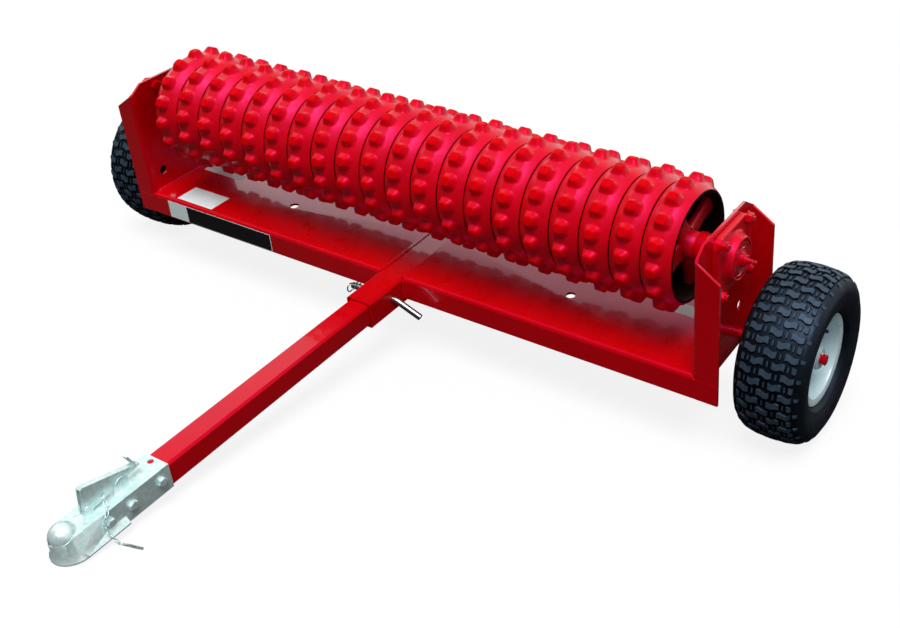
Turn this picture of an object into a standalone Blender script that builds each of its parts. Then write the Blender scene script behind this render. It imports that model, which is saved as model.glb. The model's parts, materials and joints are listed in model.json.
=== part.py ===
"""Tow-behind cultipacker in its transport position.

The machine frame has X along the roller, Y towards the wheels and Z out of the tray, with its origin in
the middle of the tray's front top edge. One empty carries the whole machine and tips it nose down until
the tyres and the coupler's lip stand on the floor.
"""

import math

import bmesh
import bpy
import numpy as np

# Roller gang
RING_COUNT = 20
RING_PITCH = 0.0762
RING_GAP = 0.0003
RING_RIM_WIDTH = 0.0738
RING_EDGE_RADIUS = 0.1275
RING_CROWN_RADIUS = 0.140
RING_CROWN_WIDTH = 0.038
RING_BORE_RADIUS = 0.119
LUG_COUNT = 16
LUG_TIP_RADIUS = 0.156
LUG_FOOT_ANGLE = math.radians(7.2)
LUG_TOP_ANGLE = math.radians(3.5)
LUG_TOP_WIDTH = 0.020
# Each ring's turn about the shaft in degrees, from left to right. The castings sit loose at no set angle.
RING_TURNS = (20, 7, 7.5, 12, 10, 19.5, 19, 10, 2.5, 18, 0, 6.5, 15.5, 12, 15.5, 5.5, 4.5, 2, 15, 19.5)
SPOKE_COUNT = 4
SPOKE_THICKNESS = 0.012
SPOKE_WIDTH = 0.026
HUB_RADIUS = 0.032
SHAFT_RADIUS = 0.022
SHAFT_CLEARANCE = 0.0003
SHAFT_PAST_INSERT = 0.012
SHAFT_END_RADIUS = 0.0145
SPACER_RADIUS = 0.0355
ROLLER_Y = 0.146
ROLLER_Z = 0.2265
NIPPLE_RADIUS = 0.0055
NIPPLE_LENGTH = 0.021

# Frame
TRAY_DEPTH = 0.272
TRAY_FLANGE = 0.0624
PLATE_THICKNESS = 0.00635
BEND_RADIUS = 0.009
GANG_END_SPACE = 0.05985
PLATE_INNER_X = RING_COUNT * RING_PITCH / 2 + GANG_END_SPACE
PART_GAP = 0.0003
PLATE_FLANGE_WIDTH = 0.06065
PLATE_FLANGE_X = PLATE_INNER_X + PLATE_FLANGE_WIDTH
PLATE_TOP_Z = 0.312
PLATE_BEND_TOP_Z = 0.286
PLATE_EDGE_TOP_Z = 0.250
PLATE_CHAMFER_Y = 0.037
PLATE_HOLE_RADIUS = 0.0065
PLATE_HOLE_Z = 0.050
PLATE_HOLE_Y = (0.046, 0.220)
TRAY_HOLE_RADIUS = 0.012
TRAY_HOLE_X = 0.434
TRAY_HOLE_Y = 0.130
GUSSET_FROM_PLATE = 0.12185
GUSSET_X = PLATE_INNER_X - GUSSET_FROM_PLATE

# Hitch tubes
RECEIVER_SIZE = 0.0715
RECEIVER_WALL = 0.0048
RECEIVER_Z = -0.0385
RECEIVER_FRONT_Y = -0.1225
RECEIVER_REAR_Y = 0.200
DRAWBAR_SIZE = 0.058
DRAWBAR_WALL = 0.0048
DRAWBAR_REAR_Y = 0.060
DRAWBAR_FRONT_Y = -0.900
HITCH_PIN_RADIUS = 0.00795
HITCH_PIN_CLEARANCE = 0.00055
HITCH_PIN_Y = -0.042
HITCH_PIN_END_X = -0.092
HITCH_HANDLE_LENGTH = 0.0725
HITCH_ELBOW_OUT = 0.0095
HITCH_ELBOW_CUT = 0.008
HITCH_CLIP_X = -0.078
HITCH_CLIP_WIRE = 0.0016
HITCH_CLIP_LOOP = 0.0105

# Bearings
HOUSING_SIZE = 0.150
HOUSING_BASE = 0.016
HOUSING_CORNER = 0.020
HOUSING_HUB_RADIUS = 0.050
HOUSING_HUB_LENGTH = 0.036
HOUSING_RECESS = 0.008
INSERT_RADIUS = 0.0405
BOLT_RADIUS = 0.0079
BOLT_CLEARANCE = 0.0006
BOLT_HEX_RADIUS = 0.0137
BOLT_HEAD = 0.0095
BOLT_FROM_EDGE = 0.0115
BOLT_SPACING = HOUSING_SIZE - 2 * BOLT_FROM_EDGE
BOLT_OUT = 0.035
NUT_LENGTH = 0.0135

# Wheels
TYRE_RADIUS = 0.2032
TYRE_WIDTH = 0.165
TREAD_BLOCKS = 14
TYRE_SIDES = 2 * TREAD_BLOCKS
TYRE_WALL = 0.0125
TYRE_CROWN = 0.0152
CROWN_HALF_WIDTH = 0.030
TREAD_HALF_WIDTH = 0.056
TREAD_DROP = 0.0027
TREAD_DEPTH = 0.0055
TREAD_SPLIT = 0.019
TREAD_GROOVE = 0.0035
EDGE_DROP = 0.0127
SHOULDER_DROP = 0.0252
WIDEST_DROP = 0.0432
WHEEL_FROM_PLATE = 0.15165
WHEEL_X = PLATE_INNER_X + WHEEL_FROM_PLATE
AXLE_BEFORE_TRAY_REAR = 0.0475
WHEEL_Y = TRAY_DEPTH - AXLE_BEFORE_TRAY_REAR
WHEEL_Z = -0.0324
RIM_LIP_RADIUS = 0.108
RIM_LIP_RISE = 0.0143
RIM_SHEET = 0.003
RIM_HALF_WIDTH = 0.062
RIM_DISH_RADIUS = 0.060
AXLE_RADIUS = 0.0127
AXLE_CLEARANCE = 0.0003
AXLE_PAST_WHEEL = 0.0666
AXLE_COLLAR_RADIUS = 0.019
WHEEL_HUB_RADIUS = 0.027
WHEEL_HUB_IN = 0.057
WHEEL_HUB_OUT = 0.050
WASHER_RADIUS = 0.024
WASHER_THICKNESS = 0.003
COTTER_RADIUS = 0.0022
COTTER_LENGTH = 0.040
VALVE_RADIUS = 0.0045

# Coupler
COUPLER_SHEET = 0.0032
COUPLER_HALF = 0.0325
COUPLER_TOP_Z = -0.006
COUPLER_OVERLAP = 0.166
COUPLER_REAR_Y = DRAWBAR_FRONT_Y + COUPLER_OVERLAP
COUPLER_STEP = 0.050
COUPLER_STEP_Y = DRAWBAR_FRONT_Y + COUPLER_STEP
COUPLER_REAR_DEPTH_Z = -0.065
COUPLER_SIDE_Z = -0.045
NOSE_RADIUS = 0.0355
NOSE_PAST_DRAWBAR = 0.0535
NOSE_Y = DRAWBAR_FRONT_Y - NOSE_PAST_DRAWBAR
NECK_Y = NOSE_Y + 0.060
LIP_HALF = 0.044
LIP_TOP_Z = -0.0568
LIP_BOTTOM_Z = -0.060
LIP_Y = NOSE_Y + 0.004
SOCKET_Y = NOSE_Y - 0.0075
SOCKET_Z = -0.0145
SOCKET_RADIUS = 0.0243
DOME_RADIUS = 0.0270
COUPLER_BOLT_Y = (DRAWBAR_FRONT_Y + 0.142, DRAWBAR_FRONT_Y + 0.070, DRAWBAR_FRONT_Y + 0.016)
COUPLER_BOLT_Z = -0.033
COUPLER_BOLT_RADIUS = 0.00635
COUPLER_BOLT_CLEARANCE = 0.0004
COUPLER_HEX_RADIUS = 0.0105
COUPLER_HEX_LENGTH = 0.008
TOP_HOLE_X = -0.004
TOP_HOLE_Y = COUPLER_REAR_Y - 0.012
TOP_HOLE_RADIUS = 0.007
EYE_Y = DRAWBAR_FRONT_Y + 0.074
EYE_Z = 0.008
EYE_LOBE = 0.016
EYE_RADIUS = 0.004
EYE_PLATE_X = (0.0085, 0.0115)

# Latch
LEVER_BEFORE_DRAWBAR = 0.004
LEVER_PIVOT_Y = DRAWBAR_FRONT_Y - LEVER_BEFORE_DRAWBAR
LEVER_PIVOT_Z = 0.005
LEVER_HALF = 0.0065
LEVER_SHEET = 0.003
LEVER_FOOT = 0.009
PIVOT_RADIUS = 0.003
PIVOT_CLEARANCE = 0.0003
EAR_THICKNESS = 0.003
EAR_GAP = 0.0004
EAR_RADIUS = 0.0085
STEM_HALF = 0.0025
STEM_TOP_Z = 0.0005
CHAIN_HOLE_Y = LEVER_PIVOT_Y + 0.035
CHAIN_HOLE_Z = 0.014
CHAIN_HOLE_RADIUS = 0.0042
CHAIN_RADIUS = 0.0024

FLOOR_TO_AXLE = TYRE_RADIUS * math.cos(math.pi / TYRE_SIDES - TREAD_GROOVE / TYRE_RADIUS)
ROOT = (0.0, 0.0, 0.0)


def linear(channel):
    """One sRGB channel from 0 to 1 as a linear value."""
    if channel <= 0.04045:
        return channel / 12.92
    return ((channel + 0.055) / 1.055) ** 2.4


def make_material(name, colour, roughness, metallic):
    """A Principled material with its colour given as sRGB hex."""
    found = bpy.data.materials.new(name)
    found.use_nodes = True
    shader = found.node_tree.nodes["Principled BSDF"]
    parts = [linear(int(colour[i : i + 2], 16) / 255) for i in (0, 2, 4)]
    shader.inputs["Base Color"].default_value = (*parts, 1.0)
    shader.inputs["Roughness"].default_value = roughness
    shader.inputs["Metallic"].default_value = metallic
    found.diffuse_color = (*parts, 1.0)
    return found


def empty(name, location, parent=None, tilt=0.0):
    """An empty that carries pieces, turned about X by tilt."""
    made = bpy.data.objects.new(name, None)
    made.empty_display_size = 0.05
    bpy.context.scene.collection.objects.link(made)
    made.parent = parent
    made.location = location
    made.rotation_euler = (tilt, 0.0, 0.0)
    return made


def solid(name, vertices, faces, parent, look=None, location=ROOT, smooth=False):
    """A closed mesh object with outward faces, in metres."""
    mesh = bpy.data.meshes.new(name)
    mesh.from_pydata([tuple(map(float, v)) for v in vertices], [], [tuple(map(int, f)) for f in faces])
    shaped = bmesh.new()
    shaped.from_mesh(mesh)
    bmesh.ops.recalc_face_normals(shaped, faces=shaped.faces)
    shaped.to_mesh(mesh)
    shaped.free()
    made = bpy.data.objects.new(name, mesh)
    bpy.context.scene.collection.objects.link(made)
    made.parent = parent
    made.location = location
    if look:
        mesh.materials.append(look)
    if smooth:
        mesh.polygons.foreach_set("use_smooth", [True] * len(mesh.polygons))
        mesh.set_sharp_from_angle(angle=math.radians(35))
    return made


def stacked(sections):
    """Vertices and faces of a solid through equal-length loops of points, flat at both ends."""
    count = len(sections[0])
    vertices = np.concatenate([np.asarray(section, float) for section in sections])
    faces = [tuple(range(count))[::-1], tuple(range(len(vertices) - count, len(vertices)))]
    for level in range(len(sections) - 1):
        low = level * count
        for i in range(count):
            j = (i + 1) % count
            faces.append((low + i, low + j, low + count + j, low + count + i))
    return vertices, faces


def along(outline, axis, place):
    """A flat outline set at one place along an axis: YZ points for X, XZ points for Y, XY points for Z."""
    points = np.asarray(outline, float)
    column = np.full(len(points), place)
    order = {
        "X": (column, points[:, 0], points[:, 1]),
        "Y": (points[:, 0], column, points[:, 1]),
        "Z": (points[:, 0], points[:, 1], column),
    }
    return np.stack(order[axis], axis=1)


def prism(name, outline, axis, low, high, parent, look=None, location=ROOT, smooth=False):
    """A straight solid with one outline, from low to high along an axis."""
    vertices, faces = stacked([along(outline, axis, low), along(outline, axis, high)])
    return solid(name, vertices, faces, parent, look, location, smooth)


def box(name, low, high, parent, look=None, location=ROOT):
    """A rectangular block between two corners."""
    outline = [(low[0], low[1]), (high[0], low[1]), (high[0], high[1]), (low[0], high[1])]
    return prism(name, outline, "Z", low[2], high[2], parent, look, location)


def arc(centre, radius, start, stop, steps):
    """Points along a circular arc, with its angles in degrees."""
    angles = np.radians(np.linspace(start, stop, steps + 1))
    return [(centre[0] + radius * math.cos(a), centre[1] + radius * math.sin(a)) for a in angles]


def disc(centre, radius, sides, phase=0.0):
    """A regular polygon's points around a centre."""
    return arc(centre, radius, phase, phase + 360.0 - 360.0 / sides, sides - 1)


def lathe(name, profile, sides, parent, look=None, location=ROOT, phase=0.0):
    """A closed (x, radius) profile turned about X. A radius of nought at both ends makes a solid bar."""
    angles = phase + np.arange(sides) * 2.0 * math.pi / sides
    solid_bar = profile[0][1] == 0.0
    rows = profile[1:-1] if solid_bar else profile
    vertices = [(x, r * math.cos(a), r * math.sin(a)) for x, r in rows for a in angles]
    faces = []
    for row in range(len(rows) - 1 if solid_bar else len(rows)):
        after = (row + 1) % len(rows)
        for i in range(sides):
            j = (i + 1) % sides
            faces.append((row * sides + i, row * sides + j, after * sides + j, after * sides + i))
    if solid_bar:
        last = (len(rows) - 1) * sides
        faces.append(tuple(range(sides)))
        faces.append(tuple(range(last, last + sides)))
    return solid(name, vertices, faces, parent, look, location, True)


def tube_along(name, path, radius, sides, parent, look=None, location=ROOT):
    """A round bar of one radius that follows a path of points."""
    points = np.asarray(path, float)
    steps = np.diff(points, axis=0)
    steps /= np.linalg.norm(steps, axis=1)[:, None]
    ways = np.vstack([steps[:1], steps[:-1] + steps[1:], steps[-1:]])
    ways /= np.linalg.norm(ways, axis=1)[:, None]
    across = np.cross(ways[0], (0.0, 0.0, 1.0) if abs(ways[0][2]) < 0.9 else (0.0, 1.0, 0.0))
    loops = []
    for place, way in zip(points, ways):
        across = across - way * np.dot(across, way)
        across /= np.linalg.norm(across)
        other = np.cross(way, across)
        turns = np.arange(sides) * 2.0 * math.pi / sides
        loops.append(place + radius * (np.cos(turns)[:, None] * across + np.sin(turns)[:, None] * other))
    vertices, faces = stacked(loops)
    return solid(name, vertices, faces, parent, look, location, True)


def helper(made):
    """Marks an object as a tool that a Boolean uses and no render shows."""
    made.hide_render = True
    made.display_type = "WIRE"
    return made


def combine(target, tool, operation):
    """Joins a tool to an object, or cuts it away, with an exact Boolean."""
    step = target.modifiers.new(tool.name, "BOOLEAN")
    step.operation = operation
    step.solver = "EXACT"
    step.object = helper(tool)
    return target


def cut(target, tool):
    return combine(target, tool, "DIFFERENCE")


def join(target, tool):
    return combine(target, tool, "UNION")


def settled(target):
    """The object's mesh with its modifiers worked out, for copies that share one form."""
    bpy.context.view_layer.update()
    graph = bpy.context.evaluated_depsgraph_get()
    return bpy.data.meshes.new_from_object(target.evaluated_get(graph))


def rounded_square(size, corner, steps):
    """A square outline about the origin with rounded corners."""
    reach = size / 2 - corner
    points = []
    for turn, (a, b) in enumerate(((1, 1), (-1, 1), (-1, -1), (1, -1))):
        points += arc((a * reach, b * reach), corner, 90 * turn, 90 * turn + 90, steps)
    return points


def channel_outline(width, depth, thickness, bend):
    """A bent sheet's section: a web along +X from 0 to width, and two flanges that reach down by depth."""
    left = arc((bend, -bend), bend, 180, 90, 3)
    right = arc((width - bend, -bend), bend, 90, 0, 3)
    inner = bend - thickness
    inner_right = arc((width - bend, -bend), inner, 0, 90, 2)
    inner_left = arc((bend, -bend), inner, 90, 180, 2)
    return (
        [(0.0, -depth)]
        + left
        + right
        + [(width, -depth), (width - thickness, -depth)]
        + inner_right
        + inner_left
        + [(thickness, -depth)]
    )


def tilt_and_place():
    """The tip about X that stands the tyres and the coupler's lip on the floor, and the machine's place.

    The axle is FLOOR_TO_AXLE up. The lip's front edge is at height nought. The Y place centres the
    object's overall box.
    """
    lip_y = LIP_Y - LIP_HALF
    reach_y = WHEEL_Y - lip_y
    reach_z = WHEEL_Z - LIP_BOTTOM_Z
    span = math.hypot(reach_y, reach_z)
    tilt = math.asin(FLOOR_TO_AXLE / span) - math.atan2(reach_z, reach_y)
    lift = -(lip_y * math.sin(tilt) + LIP_BOTTOM_Z * math.cos(tilt))
    front = lip_y * math.cos(tilt) - LIP_BOTTOM_Z * math.sin(tilt)
    rear = WHEEL_Y * math.cos(tilt) - WHEEL_Z * math.sin(tilt) + TYRE_RADIUS
    return tilt, -(front + rear) / 2, lift


def ring_mesh(parent, look):
    """One knobbed ring: rim with sixteen lugs, four spokes and a hub, as one casting about X."""
    step = 2.0 * math.pi / LUG_COUNT
    half = RING_RIM_WIDTH / 2
    crown = RING_CROWN_WIDTH / 2
    top = LUG_TOP_WIDTH / 2
    vertices = []
    for k in range(LUG_COUNT):
        spots = []
        for side in (-1, 1):
            foot = k * step + side * LUG_FOOT_ANGLE
            tip = k * step + side * LUG_TOP_ANGLE
            spots += [(x, RING_CROWN_RADIUS, foot) for x in (-crown, crown)]
            spots += [(x, LUG_TIP_RADIUS, tip) for x in (-top, top)]
        middle = (k + 0.5) * step
        spots += [(x, RING_EDGE_RADIUS, middle) for x in (-half, half)]
        spots += [(x, RING_BORE_RADIUS, middle) for x in (-half, half)]
        vertices += [(x, r * math.cos(a), r * math.sin(a)) for x, r, a in spots]
    faces = []
    for k in range(LUG_COUNT):
        a = 12 * k
        b = a + 4
        edge = a + 8
        bore = a + 10
        c = 12 * ((k + 1) % LUG_COUNT)
        before = 12 * ((k - 1) % LUG_COUNT) + 8
        faces.append((a, b, edge, before))
        faces.append((a + 1, before + 1, edge + 1, b + 1))
        faces.append((b, c, edge))
        faces.append((b + 1, edge + 1, c + 1))
        faces.append((b, b + 1, c + 1, c))
        faces.append((a + 2, a + 3, b + 3, b + 2))
        faces.append((a, a + 1, a + 3, a + 2))
        faces.append((b, b + 2, b + 3, b + 1))
        faces.append((a, a + 2, b + 2, b))
        faces.append((a + 1, b + 1, b + 3, a + 3))
        faces.append((before, edge, bore, before + 2))
        faces.append((before + 1, before + 3, bore + 1, edge + 1))
        faces.append((before + 2, bore, bore + 1, before + 3))
    rim = solid("ring_pattern", vertices, faces, parent, look)
    hub_half = (RING_PITCH - RING_GAP) / 2
    bore_radius = (SHAFT_RADIUS + SHAFT_CLEARANCE) / math.cos(math.pi / 8)
    profile = [(-hub_half, bore_radius), (-hub_half, HUB_RADIUS), (hub_half, HUB_RADIUS), (hub_half, bore_radius)]
    hub = lathe("ring_hub_tool", profile, 8, parent, look)
    for k in range(SPOKE_COUNT):
        angle = k * 2.0 * math.pi / SPOKE_COUNT
        middle = (HUB_RADIUS + RING_BORE_RADIUS) / 2
        length = RING_BORE_RADIUS - HUB_RADIUS + 0.012
        low = (-SPOKE_WIDTH / 2, -length / 2, -SPOKE_THICKNESS / 2)
        high = (SPOKE_WIDTH / 2, length / 2, SPOKE_THICKNESS / 2)
        spoke = box(f"ring_spoke_tool_{k + 1}", low, high, parent, look)
        spoke.location = (0.0, middle * math.cos(angle), middle * math.sin(angle))
        spoke.rotation_euler = (angle, 0.0, 0.0)
        join(rim, spoke)
    join(rim, hub)
    helper(rim)
    mesh = settled(rim)
    mesh.polygons.foreach_set("use_smooth", [True] * len(mesh.polygons))
    mesh.set_sharp_from_angle(angle=math.radians(35))
    return mesh


def make_rings(axis, look):
    """The rings side by side on the shaft, each a little turned from its neighbour."""
    form = ring_mesh(axis, look)
    for index in range(RING_COUNT):
        made = bpy.data.objects.new(f"ring_{index + 1:02d}", form.copy())
        bpy.context.scene.collection.objects.link(made)
        made.parent = axis
        made.location = ((index - (RING_COUNT - 1) / 2) * RING_PITCH, 0.0, 0.0)
        made.rotation_euler = (math.radians(RING_TURNS[index]), 0.0, 0.0)


def insert_end_x():
    """How far the bearing inserts reach from the middle of the machine."""
    return PLATE_INNER_X + PLATE_THICKNESS + PART_GAP + HOUSING_HUB_LENGTH


def make_shaft(axis, look):
    """The bar through the whole gang, with a grease nipple screwed into each end."""
    step = insert_end_x()
    end = step + SHAFT_PAST_INSERT
    nipple = end + NIPPLE_LENGTH
    half = [(step, SHAFT_RADIUS), (step, SHAFT_END_RADIUS), (end, SHAFT_END_RADIUS), (end, NIPPLE_RADIUS)]
    half += [(nipple - 0.004, NIPPLE_RADIUS), (nipple, 0.0035)]
    left = [(-x, r) for x, r in half[::-1]]
    lathe("roller_shaft", [(-nipple, 0.0)] + left + half + [(nipple, 0.0)], 12, axis, look)


def make_spacers(axis, look):
    """A tube between each end ring and the end plate."""
    start = RING_COUNT * RING_PITCH / 2 + PART_GAP
    stop = PLATE_INNER_X - 2 * PART_GAP
    inner = (SHAFT_RADIUS + SHAFT_CLEARANCE) / math.cos(math.pi / 12)
    profile = [(start, inner), (start, SPACER_RADIUS), (stop, SPACER_RADIUS), (stop, inner)]
    lathe("hub_spacer_right", profile, 12, axis, look)
    lathe("hub_spacer_left", [(-x, r) for x, r in profile], 12, axis, look)


def make_inserts(axis, look):
    """The bearing inserts with their locking collars, which turn with the shaft inside the housings."""
    start = PLATE_INNER_X + PLATE_THICKNESS + 2 * PART_GAP
    stop = insert_end_x()
    inner = (SHAFT_RADIUS + SHAFT_CLEARANCE) / math.cos(math.pi / 16)
    outer = INSERT_RADIUS
    profile = [(start, inner), (start, outer), (stop - 0.001, outer), (stop, outer - 0.001), (stop, inner)]
    lathe("bearing_insert_right", profile, 16, axis, look)
    lathe("bearing_insert_left", [(-x, r) for x, r in profile], 16, axis, look)


def bolt_places():
    """The four (Y, Z) places of the bearing bolts about the roller axis."""
    reach = BOLT_SPACING / 2
    return [(-reach, -reach), (reach, -reach), (reach, reach), (-reach, reach)]


def make_housing(side, word, machine, look):
    """A cast four-bolt flange housing with a round hub and a through bore."""
    face = PLATE_INNER_X + PLATE_THICKNESS + PART_GAP
    square = rounded_square(HOUSING_SIZE, HOUSING_CORNER, 2)
    ends = (side * face, side * (face + HOUSING_BASE))
    place = (0.0, ROLLER_Y, ROLLER_Z)
    name = f"bearing_housing_{word}"
    made = prism(name, square, "X", min(ends), max(ends), machine, look, place, True)
    start = side * (face + 0.004)
    rise = side * (face + HOUSING_BASE + 0.004)
    stop = side * (face + HOUSING_HUB_LENGTH)
    radius = HOUSING_HUB_RADIUS
    profile = [(start, 0.0), (start, radius + 0.004), (rise, radius + 0.004), (stop, radius), (stop, 0.0)]
    join(made, lathe(f"{name}_hub_tool", profile, 18, machine, location=place))
    reach = (face - 0.01, face + HOUSING_HUB_LENGTH + 0.01)
    low, high = sorted(side * x for x in reach)
    bore = (INSERT_RADIUS + 2 * PART_GAP) / math.cos(math.pi / 18)
    cut(made, prism(f"{name}_bore_tool", disc((0, 0), bore, 18), "X", low, high, machine, location=place))
    recess = sorted((stop - side * HOUSING_RECESS, stop + side * 0.01))
    groove = disc((0, 0), radius - 0.006, 18)
    cut(made, prism(f"{name}_recess_tool", groove, "X", recess[0], recess[1], machine, location=place))
    for index, (y, z) in enumerate(bolt_places()):
        hole = disc((y, z), (BOLT_RADIUS + BOLT_CLEARANCE) / math.cos(math.pi / 8), 8)
        cut(made, prism(f"{name}_hole_tool_{index + 1}", hole, "X", low, high, machine, location=place))


def make_bolts(side, word, machine, look):
    """The bearing bolts: head inside the end plate, nut and thread end outside the housing."""
    inner = PLATE_INNER_X - PART_GAP
    nut = PLATE_INNER_X + PLATE_THICKNESS + HOUSING_BASE + 2 * PART_GAP
    end = PLATE_INNER_X + PLATE_THICKNESS + BOLT_OUT
    profile = [
        (inner - BOLT_HEAD, 0.0),
        (inner - BOLT_HEAD, BOLT_HEX_RADIUS),
        (inner, BOLT_HEX_RADIUS),
        (inner, BOLT_RADIUS),
        (nut, BOLT_RADIUS),
        (nut, BOLT_HEX_RADIUS),
        (nut + NUT_LENGTH, BOLT_HEX_RADIUS),
        (nut + NUT_LENGTH, BOLT_RADIUS),
        (end, BOLT_RADIUS),
        (end, 0.0),
    ]
    profile = [(side * x, r) for x, r in profile]
    for index, (y, z) in enumerate(bolt_places()):
        place = (0.0, ROLLER_Y + y, ROLLER_Z + z)
        lathe(f"bearing_bolt_{word}_{index + 1}", profile, 6, machine, look, place)


def make_end_plate(side, word, machine, look):
    """An upright bent plate: web against the tray's end, two flanges outward, and clipped top corners."""
    section = channel_outline(TRAY_DEPTH, PLATE_FLANGE_X - PLATE_INNER_X, PLATE_THICKNESS, BEND_RADIUS)
    outline = [(side * (PLATE_INNER_X - depth), y) for y, depth in section]
    name = f"end_plate_{word}"
    made = prism(name, outline, "Z", -TRAY_FLANGE, PLATE_TOP_Z, machine, look)
    reach = sorted((side * (PLATE_INNER_X - 0.01), side * (PLATE_FLANGE_X + 0.01)))
    high = PLATE_TOP_Z + 0.01
    slope = (PLATE_TOP_Z - PLATE_BEND_TOP_Z) / PLATE_CHAMFER_Y
    front = [(-0.01, PLATE_BEND_TOP_Z - 0.01 * slope), (PLATE_CHAMFER_Y + 0.01 / slope, high), (-0.01, high)]
    rear = [(TRAY_DEPTH - y, z) for y, z in front]
    cut(made, prism(f"{name}_front_clip_tool", front, "X", reach[0], reach[1], machine))
    cut(made, prism(f"{name}_rear_clip_tool", rear, "X", reach[0], reach[1], machine))
    bend_x = PLATE_INNER_X + BEND_RADIUS
    fall = (PLATE_BEND_TOP_Z - PLATE_EDGE_TOP_Z) / (PLATE_FLANGE_X - bend_x)
    top = [(bend_x, PLATE_BEND_TOP_Z), (PLATE_FLANGE_X + 0.01, PLATE_EDGE_TOP_Z - 0.01 * fall)]
    top += [(PLATE_FLANGE_X + 0.01, high), (bend_x, high)]
    top = [(side * x, z) for x, z in top]
    cut(made, prism(f"{name}_flange_tool", top, "Y", -0.01, BEND_RADIUS, machine))
    cut(made, prism(f"{name}_rear_flange_tool", top, "Y", TRAY_DEPTH - BEND_RADIUS, TRAY_DEPTH + 0.01, machine))
    low, far = sorted((side * (PLATE_INNER_X - 0.01), side * (PLATE_INNER_X + BEND_RADIUS + 0.01)))
    holes = [((y, PLATE_HOLE_Z), PLATE_HOLE_RADIUS, 8) for y in PLATE_HOLE_Y]
    holes.append(((ROLLER_Y, ROLLER_Z), INSERT_RADIUS + 0.002, 18))
    holes.append(((WHEEL_Y, WHEEL_Z), (AXLE_RADIUS + AXLE_CLEARANCE) / math.cos(math.pi / 12), 12))
    for y, z in bolt_places():
        holes.append(((ROLLER_Y + y, ROLLER_Z + z), (BOLT_RADIUS + BOLT_CLEARANCE) / math.cos(math.pi / 8), 8))
    for index, (centre, radius, sides) in enumerate(holes):
        tool = prism(f"{name}_hole_tool_{index + 1}", disc(centre, radius, sides), "X", low, far, machine)
        cut(made, tool)


def make_tray(machine, look):
    """The long bent channel between the end plates, with a notch for the receiver and two axle gussets."""
    half = PLATE_INNER_X - PART_GAP
    section = channel_outline(TRAY_DEPTH, TRAY_FLANGE, PLATE_THICKNESS, BEND_RADIUS)
    made = prism("tray_channel", section, "X", -half, half, machine, look)
    for side in (-1, 1):
        inset = PLATE_THICKNESS - 0.001
        low = (side * GUSSET_X - PLATE_THICKNESS / 2, inset, -TRAY_FLANGE + 0.001)
        high = (side * GUSSET_X + PLATE_THICKNESS / 2, TRAY_DEPTH - inset, -PLATE_THICKNESS + 0.001)
        join(made, box(f"gusset_tool_{side + 2}", low, high, machine, look))
    for side in (-1, 1):
        hole = disc((side * TRAY_HOLE_X, TRAY_HOLE_Y), TRAY_HOLE_RADIUS, 12)
        cut(made, prism(f"tray_hole_tool_{side + 2}", hole, "Z", -0.02, 0.01, machine))
        radius = (AXLE_RADIUS + AXLE_CLEARANCE) / math.cos(math.pi / 12)
        round_hole = disc((WHEEL_Y, WHEEL_Z), radius, 12)
        low, high = side * GUSSET_X - 0.02, side * GUSSET_X + 0.02
        cut(made, prism(f"axle_hole_tool_{side + 2}", round_hole, "X", low, high, machine))
    reach = RECEIVER_SIZE / 2 + PART_GAP
    low = (-reach, -0.01, RECEIVER_Z - reach - 0.01)
    high = (reach, RECEIVER_REAR_Y + PART_GAP, 0.01)
    cut(made, box("receiver_notch_tool", low, high, machine))


def square_tube(name, size, wall, z, front, rear, machine, look):
    """A square tube along Y with small round corners, open at both ends."""
    outline = [(x, z + h) for x, h in rounded_square(size, 0.005, 1)]
    made = prism(name, outline, "Y", front, rear, machine, look)
    inner = [(x, z + h) for x, h in rounded_square(size - 2 * wall, 0.002, 1)]
    cut(made, prism(f"{name}_bore_tool", inner, "Y", front - 0.01, rear + 0.01, machine))
    return made


def make_hitch_tubes(machine, look):
    """The receiver in the tray's notch and the drawbar in the receiver, both drilled for the hitch pin."""
    receiver = square_tube(
        "receiver_tube", RECEIVER_SIZE, RECEIVER_WALL, RECEIVER_Z, RECEIVER_FRONT_Y, RECEIVER_REAR_Y, machine, look
    )
    drawbar = square_tube(
        "drawbar_tube", DRAWBAR_SIZE, DRAWBAR_WALL, RECEIVER_Z, DRAWBAR_FRONT_Y, DRAWBAR_REAR_Y, machine, look
    )
    radius = (HITCH_PIN_RADIUS + HITCH_PIN_CLEARANCE) / math.cos(math.pi / 12)
    hole = disc((HITCH_PIN_Y, RECEIVER_Z), radius, 12)
    for target in (receiver, drawbar):
        cut(target, prism(f"{target.name}_pin_tool", hole, "X", -0.05, 0.05, machine))
    radius = (COUPLER_BOLT_RADIUS + COUPLER_BOLT_CLEARANCE) / math.cos(math.pi / 8)
    for index, y in enumerate(COUPLER_BOLT_Y):
        hole = disc((y, COUPLER_BOLT_Z), radius, 8)
        cut(drawbar, prism(f"drawbar_bolt_tool_{index + 1}", hole, "X", -0.05, 0.05, machine))


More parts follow.
